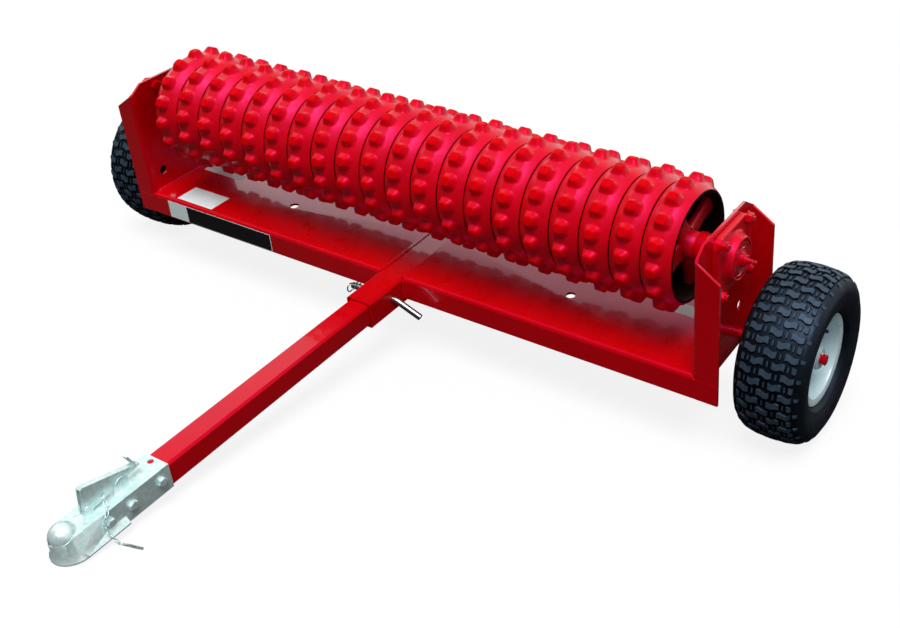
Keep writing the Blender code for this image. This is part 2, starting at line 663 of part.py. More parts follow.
def make_axle(side, word, machine, look):
    """A stub axle through gusset and end plate, with a collar inside the wheel and a cotter outside it."""
    start = GUSSET_X - PLATE_THICKNESS
    collar = WHEEL_X - WHEEL_HUB_IN - 2 * PART_GAP
    end = WHEEL_X + AXLE_PAST_WHEEL
    profile = [
        (start, 0.0),
        (start, AXLE_RADIUS),
        (collar - 0.010, AXLE_RADIUS),
        (collar - 0.010, AXLE_COLLAR_RADIUS),
        (collar, AXLE_COLLAR_RADIUS),
        (collar, AXLE_RADIUS),
        (end - 0.002, AXLE_RADIUS),
        (end, AXLE_RADIUS - 0.002),
        (end, 0.0),
    ]
    profile = [(side * x, r) for x, r in profile]
    name = f"stub_axle_{word}"
    made = lathe(name, profile, 12, machine, look, (0.0, WHEEL_Y, WHEEL_Z))
    pin_x = side * (WHEEL_X + WHEEL_HUB_OUT + WASHER_THICKNESS + 3 * PART_GAP + COTTER_RADIUS)
    reach = COTTER_LENGTH / 2
    path = [(pin_x, WHEEL_Y, WHEEL_Z - reach), (pin_x, WHEEL_Y, WHEEL_Z + reach)]
    join(made, tube_along(f"{name}_cotter_tool", path, COTTER_RADIUS, 6, machine))


def treaded(name, crown, rest, parent, look):
    """A tyre: crown rows (x, radius, column) cut into staggered blocks, then plain (x, radius) rows.

    A row of column 0 or 1 dips at that column's cross grooves, half a pitch apart, and a row of column
    2 is a groove all the way round. The plain rows have every third of the crown's angles.
    """
    pitch = 2.0 * math.pi / TREAD_BLOCKS
    groove = TREAD_GROOVE / TYRE_RADIUS
    one = np.array([0.0, groove, pitch / 2 - groove, pitch / 2, pitch / 2 + groove, pitch - groove])
    angles = (np.arange(TREAD_BLOCKS)[:, None] * pitch + one).ravel() + pitch / 4
    fine = len(angles)
    vertices = []
    for x, radius, column in crown:
        rise = np.full(fine, radius)
        dips = slice(0, None, 1) if column == 2 else slice(3 * column, None, 6)
        rise[dips] -= TREAD_DEPTH
        vertices += [(x, r * math.cos(a), r * math.sin(a)) for r, a in zip(rise, angles)]
    plain = len(vertices)
    coarse = angles[::3]
    sides = len(coarse)
    vertices += [(x, r * math.cos(a), r * math.sin(a)) for x, r in rest for a in coarse]
    faces = []
    for row in range(len(crown) - 1):
        for i in range(fine):
            a, b = row * fine + i, row * fine + (i + 1) % fine
            faces += [(a, b, b + fine), (a, b + fine, a + fine)]
    for row in range(len(rest) - 1):
        for i in range(sides):
            a, b = plain + row * sides + i, plain + row * sides + (i + 1) % sides
            faces.append((a, b, b + sides, a + sides))
    ends = ((len(crown) - 1) * fine, plain), (0, plain + (len(rest) - 1) * sides)
    for high, low in ends:
        for i in range(sides):
            a, b = low + i, low + (i + 1) % sides
            h = [high + (3 * i + k) % fine for k in range(4)]
            faces += [(a, h[0], h[1]), (a, h[1], h[2]), (a, h[2], b), (b, h[2], h[3])]
    return solid(name, vertices, faces, parent, look, smooth=True)


def make_wheel(side, axis, rubber, steel):
    """A turf tyre, its dished steel rim with hub tube and valve stem, and the axle washer."""
    word = "right" if side > 0 else "left"
    half = TYRE_WIDTH / 2
    full = TYRE_RADIUS
    bead = RIM_LIP_RADIUS - RIM_LIP_RISE
    seat = (bead + PART_GAP) / math.cos(math.pi / TYRE_SIDES)
    shoulder = RIM_LIP_RADIUS + 0.0013
    lip = RIM_HALF_WIDTH
    widest = (half, full - WIDEST_DROP)
    edge = (half - 0.0035, full - SHOULDER_DROP)
    outer = [(lip - 0.007, seat), (lip - 0.0045, shoulder), widest, edge, (half - 0.0105, full - EDGE_DROP)]
    crown = [(TREAD_HALF_WIDTH, full - TREAD_DROP, 1), (CROWN_HALF_WIDTH, full, 1)]
    crown += [(TREAD_SPLIT + TREAD_GROOVE, full, 1), (TREAD_SPLIT, full, 2), (TREAD_SPLIT - TREAD_GROOVE, full, 0)]
    crown = [(-x, r, column) for x, r, column in crown] + crown[::-1]
    pocket = (half - TYRE_WALL, full - WIDEST_DROP - 0.005)
    inner = [(lip - 0.016, seat), pocket, (TREAD_HALF_WIDTH - 0.008, full - TYRE_CROWN)]
    rest = outer[::-1] + inner + [(-x, r) for x, r in inner[::-1]] + [(-x, r) for x, r in outer]
    crown = [(side * x, r, column) for x, r, column in crown]
    treaded(f"tyre_{word}", crown, [(side * x, r) for x, r in rest], axis, rubber)
    sheet = RIM_SHEET
    bore = (AXLE_RADIUS + AXLE_CLEARANCE) / math.cos(math.pi / 16)
    rim = [
        (-WHEEL_HUB_IN, bore),
        (-WHEEL_HUB_IN, WHEEL_HUB_RADIUS),
        (0.010, WHEEL_HUB_RADIUS),
        (0.010, RIM_DISH_RADIUS),
        (-0.006, bead - sheet),
        (0.002 - lip, bead - sheet),
        (-lip, RIM_LIP_RADIUS),
        (sheet - lip, RIM_LIP_RADIUS),
        (0.0048 - lip, bead),
        (lip - 0.0048, bead),
        (lip - sheet, RIM_LIP_RADIUS),
        (lip, RIM_LIP_RADIUS),
        (lip - 0.002, bead - sheet),
        (0.000, bead - sheet),
        (0.014, RIM_DISH_RADIUS),
        (0.014, WHEEL_HUB_RADIUS),
        (WHEEL_HUB_OUT, WHEEL_HUB_RADIUS),
        (WHEEL_HUB_OUT, bore),
    ]
    rim = [(side * x, r) for x, r in rim]
    made = lathe(f"wheel_rim_{word}", rim, 20, axis, steel)
    reach = (side * (lip - 0.022), side * (lip + 0.004))
    stem = [(reach[0], 0.0, bead - 0.012), (reach[1], 0.0, bead - 0.016)]
    foot = [(reach[0], 0.0, bead - 0.001), stem[0], stem[1]]
    join(made, tube_along(f"valve_tool_{word}", foot, VALVE_RADIUS, 8, axis))
    start = side * (WHEEL_HUB_OUT + PART_GAP)
    stop = start + side * WASHER_THICKNESS
    profile = [(start, bore), (start, WASHER_RADIUS), (stop, WASHER_RADIUS), (stop, bore)]
    lathe(f"axle_washer_{word}", profile, 16, axis, steel)


def nose_outline(half, nose, rear):
    """A U-shaped outline in XY: straight sides that widen to a half round nose."""
    front = arc((0.0, NOSE_Y), nose, 0, -180, 12)
    return [(half, rear), (half, NECK_Y)] + front + [(-half, NECK_Y), (-half, rear)]


def lip_outline(half, rear):
    """The wide foot's outline, with the same count of points as the nose's."""
    front = arc((0.0, LIP_Y), half, 0, -180, 12)
    return [(half, rear), (half, NECK_Y)] + front + [(-half, NECK_Y), (-half, rear)]


def ball(name, radius, machine):
    """A coarse sphere about the coupler's ball centre."""
    rows = 8
    bend = np.linspace(0.0, math.pi, rows + 1)
    profile = [(radius * math.cos(a), radius * math.sin(a)) for a in bend]
    profile[0] = (radius, 0.0)
    profile[-1] = (-radius, 0.0)
    flat = 0.999
    profile.insert(1, (radius * flat, radius * 0.045))
    profile.insert(-1, (-radius * flat, radius * 0.045))
    return lathe(name, profile, 16, machine, location=(0.0, SOCKET_Y, SOCKET_Z))


def coupler_shell(machine, look):
    """The pressed nose: cap, sides, flared foot and the open inside, before the holes."""
    sheet = COUPLER_SHEET
    half = COUPLER_HALF
    step = COUPLER_STEP_Y
    outline = nose_outline(half, NOSE_RADIUS, COUPLER_REAR_Y)
    made = prism("coupler_body", outline, "Z", COUPLER_REAR_DEPTH_Z, COUPLER_TOP_Z, machine, look, smooth=True)
    low = (-0.1, NOSE_Y - 0.1, COUPLER_REAR_DEPTH_Z - 0.01)
    high = (0.1, step, LIP_BOTTOM_Z + 0.001)
    cut(made, box("coupler_step_tool", low, high, machine))
    inset = 0.0004
    flare = [
        along(lip_outline(LIP_HALF, step - inset), "Z", LIP_BOTTOM_Z),
        along(lip_outline(LIP_HALF, step - inset), "Z", LIP_TOP_Z),
        along(nose_outline(half - inset, NOSE_RADIUS - inset, step - inset), "Z", COUPLER_SIDE_Z),
    ]
    vertices, faces = stacked(flare)
    join(made, solid("coupler_flare_tool", vertices, faces, machine))
    join(made, ball("coupler_dome_tool", DOME_RADIUS, machine))
    inner = nose_outline(half - sheet, NOSE_RADIUS - sheet, COUPLER_REAR_Y + 0.01)
    low = COUPLER_REAR_DEPTH_Z - 0.01
    cut(made, prism("coupler_inside_tool", inner, "Z", low, COUPLER_TOP_Z - sheet, machine))
    cut(made, ball("coupler_socket_tool", SOCKET_RADIUS, machine))
    return made


def make_coupler(machine, look):
    """The ball coupler's body with pivot ears, lock eye and holes."""
    made = coupler_shell(machine, look)
    foot = COUPLER_TOP_Z - 0.002
    ear = [(LEVER_PIVOT_Y + EAR_RADIUS, foot)]
    ear += arc((LEVER_PIVOT_Y, LEVER_PIVOT_Z), EAR_RADIUS, 0, 180, 6)
    ear += [(LEVER_PIVOT_Y - EAR_RADIUS, foot)]
    near = LEVER_HALF + EAR_GAP
    for side in (-1, 1):
        low, high = sorted((side * near, side * (near + EAR_THICKNESS)))
        join(made, prism(f"ear_tool_{side + 2}", ear, "X", low, high, machine))
    eye = [(EYE_Y + EYE_LOBE + 0.006, foot)]
    eye += arc((EYE_Y, EYE_Z), EYE_LOBE, 10, 170, 8)
    eye += [(EYE_Y - EYE_LOBE - 0.010, foot)]
    join(made, prism("eye_plate_tool", eye, "X", EYE_PLATE_X[0], EYE_PLATE_X[1], machine))
    hole = disc((EYE_Y, EYE_Z), EYE_RADIUS, 10)
    cut(made, prism("eye_hole_tool", hole, "X", EYE_PLATE_X[0] - 0.01, EYE_PLATE_X[1] + 0.01, machine))
    pivot = disc((LEVER_PIVOT_Y, LEVER_PIVOT_Z), (PIVOT_RADIUS + PIVOT_CLEARANCE) / math.cos(math.pi / 10), 10)
    cut(made, prism("ear_hole_tool", pivot, "X", -0.02, 0.02, machine))
    slot = STEM_HALF + 2 * PART_GAP
    low = (-slot, LEVER_PIVOT_Y - slot - 0.001, COUPLER_TOP_Z - 0.02)
    high = (slot, LEVER_PIVOT_Y + slot + 0.001, COUPLER_TOP_Z + 0.001)
    cut(made, box("stem_slot_tool", low, high, machine))
    top = disc((TOP_HOLE_X, TOP_HOLE_Y), TOP_HOLE_RADIUS, 12)
    cut(made, prism("top_hole_tool", top, "Z", COUPLER_TOP_Z - 0.01, COUPLER_TOP_Z + 0.01, machine))
    radius = (COUPLER_BOLT_RADIUS + COUPLER_BOLT_CLEARANCE) / math.cos(math.pi / 8)
    for index, y in enumerate(COUPLER_BOLT_Y):
        hole = disc((y, COUPLER_BOLT_Z), radius, 8)
        cut(made, prism(f"coupler_hole_tool_{index + 1}", hole, "X", -0.05, 0.05, machine))


def make_coupler_bolts(machine, look):
    """The three cross bolts through coupler and drawbar, each with its nut."""
    face = COUPLER_HALF + PART_GAP
    end = face + COUPLER_HEX_LENGTH
    profile = [
        (-end - 0.004, 0.0),
        (-end - 0.004, COUPLER_BOLT_RADIUS),
        (-end, COUPLER_BOLT_RADIUS),
        (-end, COUPLER_HEX_RADIUS),
        (-face, COUPLER_HEX_RADIUS),
        (-face, COUPLER_BOLT_RADIUS),
        (face, COUPLER_BOLT_RADIUS),
        (face, COUPLER_HEX_RADIUS),
        (end, COUPLER_HEX_RADIUS),
        (end, 0.0),
    ]
    for index, y in enumerate(COUPLER_BOLT_Y):
        lathe(f"coupler_bolt_{index + 1}", profile, 6, machine, look, (0.0, y, COUPLER_BOLT_Z))


def make_lever(axis, machine, look):
    """The latch lever: a folded cheek pair, high at the front, with a turned-up handle tab behind."""
    foot = arc((0.0, 0.0), LEVER_FOOT, 195, 290, 4)
    outline = [(-0.0085, 0.006), (-0.003, 0.050), (0.002, 0.053)]
    outline += [(0.112, 0.0195), (0.116, 0.0185), (0.104, 0.046), (0.1075, 0.0465), (0.1205, 0.0175)]
    outline += [(0.128, 0.014), (0.128, 0.011)]
    outline += foot[::-1]
    made = prism("latch_lever", outline, "X", -LEVER_HALF, LEVER_HALF, axis, look)
    inside = LEVER_HALF - LEVER_SHEET
    hollow = [(-0.020, 0.002), (-0.005 - 0.012, 0.0465), (0.0005, 0.0495), (0.105, 0.0172)]
    hollow += [(0.1235, 0.0105), (0.1235, -0.010), (0.0, -0.020), (-0.020, -0.020)]
    cut(made, prism("lever_hollow_tool", hollow, "X", -inside, inside, axis))
    pivot = disc((0.0, 0.0), (PIVOT_RADIUS + PIVOT_CLEARANCE) / math.cos(math.pi / 10), 10)
    cut(made, prism("lever_pivot_tool", pivot, "X", -0.02, 0.02, axis))
    centre = (CHAIN_HOLE_Y - LEVER_PIVOT_Y, CHAIN_HOLE_Z - LEVER_PIVOT_Z)
    cut(made, prism("lever_chain_tool", disc(centre, CHAIN_HOLE_RADIUS, 10), "X", -0.02, 0.02, axis))
    reach = LEVER_HALF + EAR_GAP + EAR_THICKNESS + PART_GAP
    profile = [
        (-reach - 0.002, 0.0),
        (-reach - 0.002, PIVOT_RADIUS + 0.0015),
        (-reach, PIVOT_RADIUS + 0.0015),
        (-reach, PIVOT_RADIUS),
        (reach, PIVOT_RADIUS),
        (reach, PIVOT_RADIUS + 0.0015),
        (reach + 0.002, PIVOT_RADIUS + 0.0015),
        (reach + 0.002, 0.0),
    ]
    lathe("lever_pivot_pin", profile, 10, machine, look, (0.0, LEVER_PIVOT_Y, LEVER_PIVOT_Z))


def make_clamp(axis, look):
    """The ball clamp: a stem up through the coupler's top and a tongue that hooks under the ball."""
    stem = STEM_HALF
    top = STEM_TOP_Z - LEVER_PIVOT_Z
    plate = COUPLER_TOP_Z - COUPLER_SHEET - 0.001 - LEVER_PIVOT_Z
    ball_y = SOCKET_Y - LEVER_PIVOT_Y
    made = box("ball_clamp", (-0.013, ball_y + 0.0265, -0.049), (0.013, 0.003, plate), axis, look)
    join(made, box("clamp_stem_tool", (-stem, -stem, plate - 0.002), (stem, stem, top), axis))
    low = (-0.011, ball_y + 0.0135, -0.049)
    join(made, box("clamp_toe_tool", low, (0.011, ball_y + 0.0285, -0.042), axis))
    hollow = ball("clamp_ball_tool", SOCKET_RADIUS + PART_GAP, axis)
    hollow.location = (0.0, ball_y, SOCKET_Z - LEVER_PIVOT_Z)
    cut(made, hollow)


def floor_z(y, placed):
    """The floor's height in the machine frame at one Y."""
    tilt, _, lift = placed
    return -(lift + y * math.sin(tilt)) / math.cos(tilt)


def make_chain(axis, machine, look, placed):
    """The safety chain from the lever over the coupler's side to the floor, and its spring clip."""
    wire = CHAIN_RADIUS
    y0 = CHAIN_HOLE_Y
    floor = floor_z(y0 - 0.021, placed) + wire + 0.0006
    points = [
        (LEVER_HALF + 0.0004 + wire, y0, CHAIN_HOLE_Z),
        (0.018, y0 - 0.005, CHAIN_HOLE_Z - 0.0095),
        (0.030, y0 - 0.012, COUPLER_TOP_Z + wire + 0.0010),
        (0.0352, y0 - 0.016, COUPLER_TOP_Z + wire + 0.0002),
        (0.0374, y0 - 0.021, COUPLER_TOP_Z - 0.003),
        (0.0378, y0 - 0.0295, -0.020),
        (0.0390, y0 - 0.0305, -0.040),
        (LIP_HALF + wire + 0.0010, y0 - 0.027, LIP_TOP_Z + 0.002),
        (LIP_HALF + wire + 0.0015, y0 - 0.025, LIP_BOTTOM_Z - 0.002),
        (0.052, y0 - 0.023, floor + 0.001),
        (0.060, y0 - 0.020, floor),
    ]
    local = [(x, y - CHAIN_HOLE_Y, z - CHAIN_HOLE_Z) for x, y, z in points]
    tube_along("safety_chain", local, wire, 6, axis, look)
    clip = [(0.0604, -0.020), (0.072, -0.016), (0.086, -0.012), (0.101, -0.008)]
    local = [(x, y, floor_z(y0 + y, placed) + wire + 0.0006 - CHAIN_HOLE_Z) for x, y in clip]
    tube_along("safety_clip", local, wire, 6, axis, look)


def make_hitch_pin(axis, look):
    """The bent cross pin through receiver and drawbar, with its hairpin clip."""
    start = HITCH_PIN_END_X
    corner = RECEIVER_SIZE / 2 + HITCH_ELBOW_OUT
    turn = HITCH_ELBOW_CUT
    way = np.array((0.866, 0.112, -0.487))
    way = way / np.linalg.norm(way)
    bent = np.array((corner, 0.0, 0.0))
    path = [(start, 0.0, 0.0), (corner - turn, 0.0, 0.0), bent + way * turn, bent + way * HITCH_HANDLE_LENGTH]
    made = tube_along("hitch_pin", path, HITCH_PIN_RADIUS, 12, axis, look)
    hole = disc((HITCH_CLIP_X, 0.0), (HITCH_CLIP_WIRE + PART_GAP) / math.cos(math.pi / 8), 8)
    cut(made, prism("hitch_pin_hole_tool", hole, "Y", -0.02, 0.02, axis))
    gap = HITCH_PIN_RADIUS + HITCH_CLIP_WIRE + 0.0006
    loop = HITCH_CLIP_LOOP
    centre = (-0.0215, 0.0105)
    path = [(0.016, 0.0), (0.0, 0.0), (-0.012, 0.0)]
    turn = arc(centre, loop, -60, -300, 8)
    path += turn
    path += [(-0.009, gap + 0.004), (-0.004, gap), (0.004, gap), (0.010, gap - 0.0015)]
    path = [(HITCH_CLIP_X, y, z) for y, z in path]
    tube_along("hitch_pin_clip", path, HITCH_CLIP_WIRE, 6, axis, look)


def main():
    """Builds the cultipacker."""
    for old in list(bpy.data.objects):
        bpy.data.objects.remove(old)
    red = make_material("red_gloss_paint", "C40A14", 0.22, 0.0)
    cast = make_material("red_painted_cast_iron", "B80B12", 0.32, 0.0)
    zinc = make_material("zinc_plated_steel", "C3CDCB", 0.34, 1.0)
    bare = make_material("bright_steel", "BFC2C4", 0.28, 1.0)
    rubber = make_material("black_tyre_rubber", "1A1B1D", 0.72, 0.0)
    grey = make_material("pale_grey_wheel_paint", "C9D2CC", 0.40, 0.0)
    placed = tilt_and_place()
    tilt, shift, lift = placed
    machine = empty("machine", (0.0, shift, lift), None, tilt)
    roller = empty("roller_axis", (0.0, ROLLER_Y, ROLLER_Z), machine)
    make_rings(roller, cast)
    make_shaft(roller, bare)
    make_spacers(roller, red)
    make_inserts(roller, bare)
    make_tray(machine, red)
    make_hitch_tubes(machine, red)
    for side, word in ((-1, "left"), (1, "right")):
        make_end_plate(side, word, machine, red)
        make_housing(side, word, machine, cast)
        make_bolts(side, word, machine, zinc)
        make_axle(side, word, machine, red)
        wheel = empty(f"wheel_axis_{word}", (side * WHEEL_X, WHEEL_Y, WHEEL_Z), machine, -tilt)
        make_wheel(side, wheel, rubber, grey)
    make_coupler(machine, zinc)
    make_coupler_bolts(machine, zinc)
    lever = empty("lever_axis", (0.0, LEVER_PIVOT_Y, LEVER_PIVOT_Z), machine)
    make_lever(lever, machine, zinc)
    make_clamp(empty("clamp_axis", (0.0, LEVER_PIVOT_Y, LEVER_PIVOT_Z), machine), zinc)
    chain = empty("chain_axis", (0.0, CHAIN_HOLE_Y, CHAIN_HOLE_Z), machine)
    make_chain(chain, machine, zinc, placed)
    make_hitch_pin(empty("hitch_pin_axis", (0.0, HITCH_PIN_Y, RECEIVER_Z), machine), zinc)


main()
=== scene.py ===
# %% [markdown]
# # A cultipacker in its transport position
#
# A cultipacker presses a seed bed flat. Twenty cast iron rings roll side by side on one shaft, and each
# ring has sixteen knobs on its crown that break clods. Sheet steel carries the gang, a square drawbar
# with a ball coupler pulls it, and two turf wheels stand behind it for the road.
#
# The solids are already there. This script loads them, gives each its real finish, and puts finer
# pieces over the solids where a casting, a tyre or a chain needs more than flat faces can show.

# %% The solids as a fixed frame
import json
import math

import bmesh
import bpy
import mathutils
import numpy as np
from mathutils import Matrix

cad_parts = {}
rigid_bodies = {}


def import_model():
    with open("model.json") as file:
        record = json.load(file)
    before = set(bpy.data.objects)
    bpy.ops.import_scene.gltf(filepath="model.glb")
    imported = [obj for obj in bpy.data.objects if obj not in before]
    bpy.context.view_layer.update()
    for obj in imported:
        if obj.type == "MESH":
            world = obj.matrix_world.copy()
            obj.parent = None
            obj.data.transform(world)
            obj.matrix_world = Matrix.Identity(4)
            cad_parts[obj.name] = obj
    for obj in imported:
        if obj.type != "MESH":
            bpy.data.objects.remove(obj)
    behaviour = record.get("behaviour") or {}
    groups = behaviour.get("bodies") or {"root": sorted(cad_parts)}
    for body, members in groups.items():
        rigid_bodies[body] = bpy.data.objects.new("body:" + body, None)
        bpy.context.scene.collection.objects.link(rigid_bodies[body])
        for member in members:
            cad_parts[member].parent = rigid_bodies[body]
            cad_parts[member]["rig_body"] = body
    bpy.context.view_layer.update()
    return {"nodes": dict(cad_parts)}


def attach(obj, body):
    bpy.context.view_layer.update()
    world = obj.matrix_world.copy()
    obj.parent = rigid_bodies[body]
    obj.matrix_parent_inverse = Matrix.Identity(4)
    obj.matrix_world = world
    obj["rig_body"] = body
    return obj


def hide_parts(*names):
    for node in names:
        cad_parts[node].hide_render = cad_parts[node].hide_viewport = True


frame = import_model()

nodes = frame["nodes"]

# %% [markdown]
# ## Where things are
#
# Every shape is worked out in the machine's own frame: X along the roller, Y towards the wheels and Z
# out of the tray. Parked on its coupler the machine tips nose down by a little over eight degrees, so one
# function carries points to the floor's frame. The tilt follows from two contacts: the tread under the
# axle, and the front edge of the coupler's lip.

# %% From the machine's frame to the floor's
AXLE = (0.2245, -0.0324)
LIP = (-0.9935, -0.06)
TYRE_RADIUS = 0.2032
tread_to_axle = TYRE_RADIUS * math.cos(math.pi / 28 - 0.0035 / TYRE_RADIUS)
reach_y, reach_z = AXLE[0] - LIP[0], AXLE[1] - LIP[1]
TILT = math.asin(tread_to_axle / math.hypot(reach_y, reach_z)) - math.atan2(reach_z, reach_y)
TILT_COS, TILT_SIN = math.cos(TILT), math.sin(TILT)
LIFT = -(LIP[0] * TILT_SIN + LIP[1] * TILT_COS)
front_y = LIP[0] * TILT_COS - LIP[1] * TILT_SIN
rear_y = AXLE[0] * TILT_COS - AXLE[1] * TILT_SIN + TYRE_RADIUS
SHIFT = -(front_y + rear_y) / 2


def on_floor(points):
    """Turns points about X by the tilt, then moves them back by the shift and up by the lift."""
    x, y, z = np.moveaxis(np.asarray(points, float), -1, 0)
    return np.stack([x, y * TILT_COS - z * TILT_SIN + SHIFT, y * TILT_SIN + z * TILT_COS + LIFT], -1)


def off_floor(points):
    """The way back: moved forward and down, then turned by the tilt the other way."""
    x, y, z = np.moveaxis(np.asarray(points, float), -1, 0)
    y, z = y - SHIFT, z - LIFT
    return np.stack([x, y * TILT_COS + z * TILT_SIN, z * TILT_COS - y * TILT_SIN], -1)


print("the tray's front edge is", round(float(on_floor((0, 0, 0))[2]), 4), "m above the floor")

# %% [markdown]
# ## Small tools for making meshes
#
# Most pieces here are grids: rows of points that close up into a tube, a ring or a turned part. A few
# small functions cover them: faces for a grid, a profile turned about X, a tube along a path, and a
# plate with one outline. The last ones put any of them into the scene, on the body that carries it.

# %% Faces for a grid of points
def grid_faces(rows, columns, close_rows=False, close_columns=False):
    """Four corners for each cell of a grid whose points are numbered row after row."""
    r = np.arange(rows if close_rows else rows - 1)
    c = np.arange(columns if close_columns else columns - 1)
    r, c = np.meshgrid(r, c, indexing="ij")
    after_r, after_c = (r + 1) % rows, (c + 1) % columns
    corners = [r * columns + c, after_r * columns + c, after_r * columns + after_c, r * columns + after_c]
    return np.stack(corners, -1).reshape(-1, 4)


def capped_faces(rows, columns):
    """The grid of an open tube, with one more face over each end."""
    count = rows * columns
    sides = [tuple(face) for face in grid_faces(rows, columns, False, True)]
    return sides + [tuple(range(columns)), tuple(range(count - columns, count))]


# %% Shapes turned about X
def around(x, radius, angle):
    """Points at x along the X axis, at a radius and an angle round it."""
    x, radius, angle = np.broadcast_arrays(x, radius, angle)
    return np.stack([x, radius * np.cos(angle), radius * np.sin(angle)], -1)


def turned(profile, steps, centre=(0.0, 0.0, 0.0)):
    """A closed (x, radius) profile carried round X in even steps."""
    profile = np.asarray(profile, float)
    points = around(profile[:, :1], profile[:, 1:], np.arange(steps) * 2.0 * math.pi / steps)
    return points.reshape(-1, 3) + np.asarray(centre), grid_faces(len(profile), steps, True, True)


def rolled(points, degrees):
    """Points turned about the X axis."""
    c, s = math.cos(math.radians(degrees)), math.sin(math.radians(degrees))
    x, y, z = points.T
    return np.stack([x, y * c - z * s, y * s + z * c], 1)


def run(origin, *pairs):
    """A stretch of a profile: pairs of mm along X past the origin and the radius there in mm."""
    return [(origin + x / 1000, r / 1000) for x, r in pairs]


def mirrored(profile, side):
    """The profile with its x turned to that side of the machine, -1 for left and 1 for right."""
    return [(side * x, r) for x, r in profile]


# %% Tubes along a path
def smooth_path(points, steps):
    """A Catmull-Rom curve: each stretch blends its four nearest points with cubic weights."""
    p = np.asarray(points, float)
    p = np.vstack([2 * p[:1] - p[1:2], p, 2 * p[-1:] - p[-2:-1]])
    t = np.arange(steps)[:, None] / steps
    a, b, c, d = (p[i:len(p) - 3 + i][:, None, :] for i in range(4))
    square, cube = 2 * a - 5 * b + 4 * c - d, 3 * b - a - 3 * c + d
    curve = 0.5 * (2 * b + (c - a) * t + square * t**2 + cube * t**3)
    return np.vstack([curve.reshape(-1, 3), p[-2:-1]])


def tube(path, radius, sides, closed=False):
    """Circles across a path, each turned from the last as little as can be."""
    path = np.asarray(path, float)
    ahead = np.roll(path, -1, 0) - np.roll(path, 1, 0)
    if not closed:
        ahead[0], ahead[-1] = path[1] - path[0], path[-1] - path[-2]
    ahead /= np.linalg.norm(ahead, axis=1)[:, None]
    across = np.zeros_like(ahead)
    last = np.cross(ahead[0], (0.0, 0.0, 1.0) if abs(ahead[0][2]) < 0.9 else (0.0, 1.0, 0.0))
    for i, way in enumerate(ahead):
        last = last - way * np.dot(last, way)
        last /= np.linalg.norm(last)
        across[i] = last
    other = np.cross(ahead, across)
    a = np.arange(sides)[:, None] * 2.0 * math.pi / sides
    radius = np.broadcast_to(np.asarray(radius, float), (len(path),))[:, None, None]
    ring = np.cos(a) * across[:, None, :] + np.sin(a) * other[:, None, :]
    points = (path[:, None, :] + radius * ring).reshape(-1, 3)
    return points, grid_faces(len(path), sides, True, True) if closed else capped_faces(len(path), sides)


# %% Plates with one outline
def plate(outline, axis, low, high):
    """A flat outline carried from low to high along an axis: YZ points for X, XZ for Y and XY for Z."""
    outline = np.asarray(outline, float)
    levels = [np.insert(outline, "XYZ".index(axis), place, axis=1) for place in (low, high)]
    return np.vstack(levels), capped_faces(2, len(outline))


def oblong(x0, y0, x1, y1):
    """The outline of an oblong from two opposite corners."""
    return [(x0, y0), (x1, y0), (x1, y1), (x0, y1)]


def arc(centre, radius, start, stop, steps):
    """Points along a circular arc, its angles in degrees."""
    a = np.radians(np.linspace(start, stop, steps + 1))
    return np.stack([centre[0] + radius * np.cos(a), centre[1] + radius * np.sin(a)], 1)


def rounded_square(size, corner, steps):
    """A square outline about the origin with arcs for corners."""
    inner = size / 2 - corner
    turns = [(inner, inner, 0), (-inner, inner, 90), (-inner, -inner, 180), (inner, -inner, 270)]
    return np.vstack([arc((x, y), corner, start, start + 90, steps) for x, y, start in turns])


# %% Putting a piece into the scene
POINT_MERGE, SOLID_MERGE = 2e-6, 1e-5
FLAT_ANGLE = math.radians(0.6)


def merged(parts):
    """Several (points, faces) pairs as one pair."""
    points, faces, count = [], [], 0
    for some_points, some_faces in parts:
        points.append(np.asarray(some_points, float).reshape(-1, 3))
        faces += [tuple(int(i) + count for i in face) for face in some_faces]
        count += len(points[-1])
    return np.vstack(points), faces


def finish_mesh(mesh, sharp):
    """Points that meet become one, faces turn outwards, and edges over the sharp angle stay crisp."""
    shape = bmesh.new()
    shape.from_mesh(mesh)
    bmesh.ops.remove_doubles(shape, verts=shape.verts, dist=POINT_MERGE)
    bmesh.ops.recalc_face_normals(shape, faces=shape.faces)
    shape.to_mesh(mesh)
    shape.free()
    mesh.polygons.foreach_set("use_smooth", np.ones(len(mesh.polygons), bool))
    mesh.set_sharp_from_angle(angle=math.radians(sharp))


def bevel(piece, width, segments=2, angle=40.0):
    """Rounds the piece's sharp edges by a width in metres."""
    rounding = piece.modifiers.new("worn_edges", "BEVEL")
    rounding.width = width
    rounding.segments = segments
    rounding.limit_method = "ANGLE"
    rounding.angle_limit = math.radians(angle)
    rounding.harden_normals = True
    return piece


def link(name, data):
    """A new object on its data, in the scene's own collection."""
    made = bpy.data.objects.new(name, data)
    bpy.context.scene.collection.objects.link(made)
    return made


def set_down(name, mesh, look, body, replaces, sharp):
    """Finishes a mesh, gives it its look and makes it a piece that rides on its body."""
    finish_mesh(mesh, sharp)
    mesh.name = name
    mesh.materials.clear()
    mesh.materials.append(look)
    piece = link(name, mesh)
    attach(piece, body)
    if replaces:
        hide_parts(*replaces)
    return piece


def add_piece(name, shape, look, body, replaces=(), sharp=35.0, marks=None):
    """A piece from points in the machine's frame and faces. Marks are numbers kept on its points."""
    mesh = bpy.data.meshes.new(name)
    mesh.from_pydata(on_floor(shape[0]).tolist(), [], [tuple(int(i) for i in face) for face in shape[1]])
    for mark, values in (marks or {}).items():
        mesh.attributes.new(mark, "FLOAT", "POINT").data.foreach_set("value", values)
    return set_down(name, mesh, look, body, replaces, sharp)


def dress(node, suffix, shape, look, sharp=35.0, marks=None):
    """A piece that takes the place of one node and rides on its body."""
    return add_piece(node + suffix, shape, look, nodes[node]["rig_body"], [node], sharp, marks)


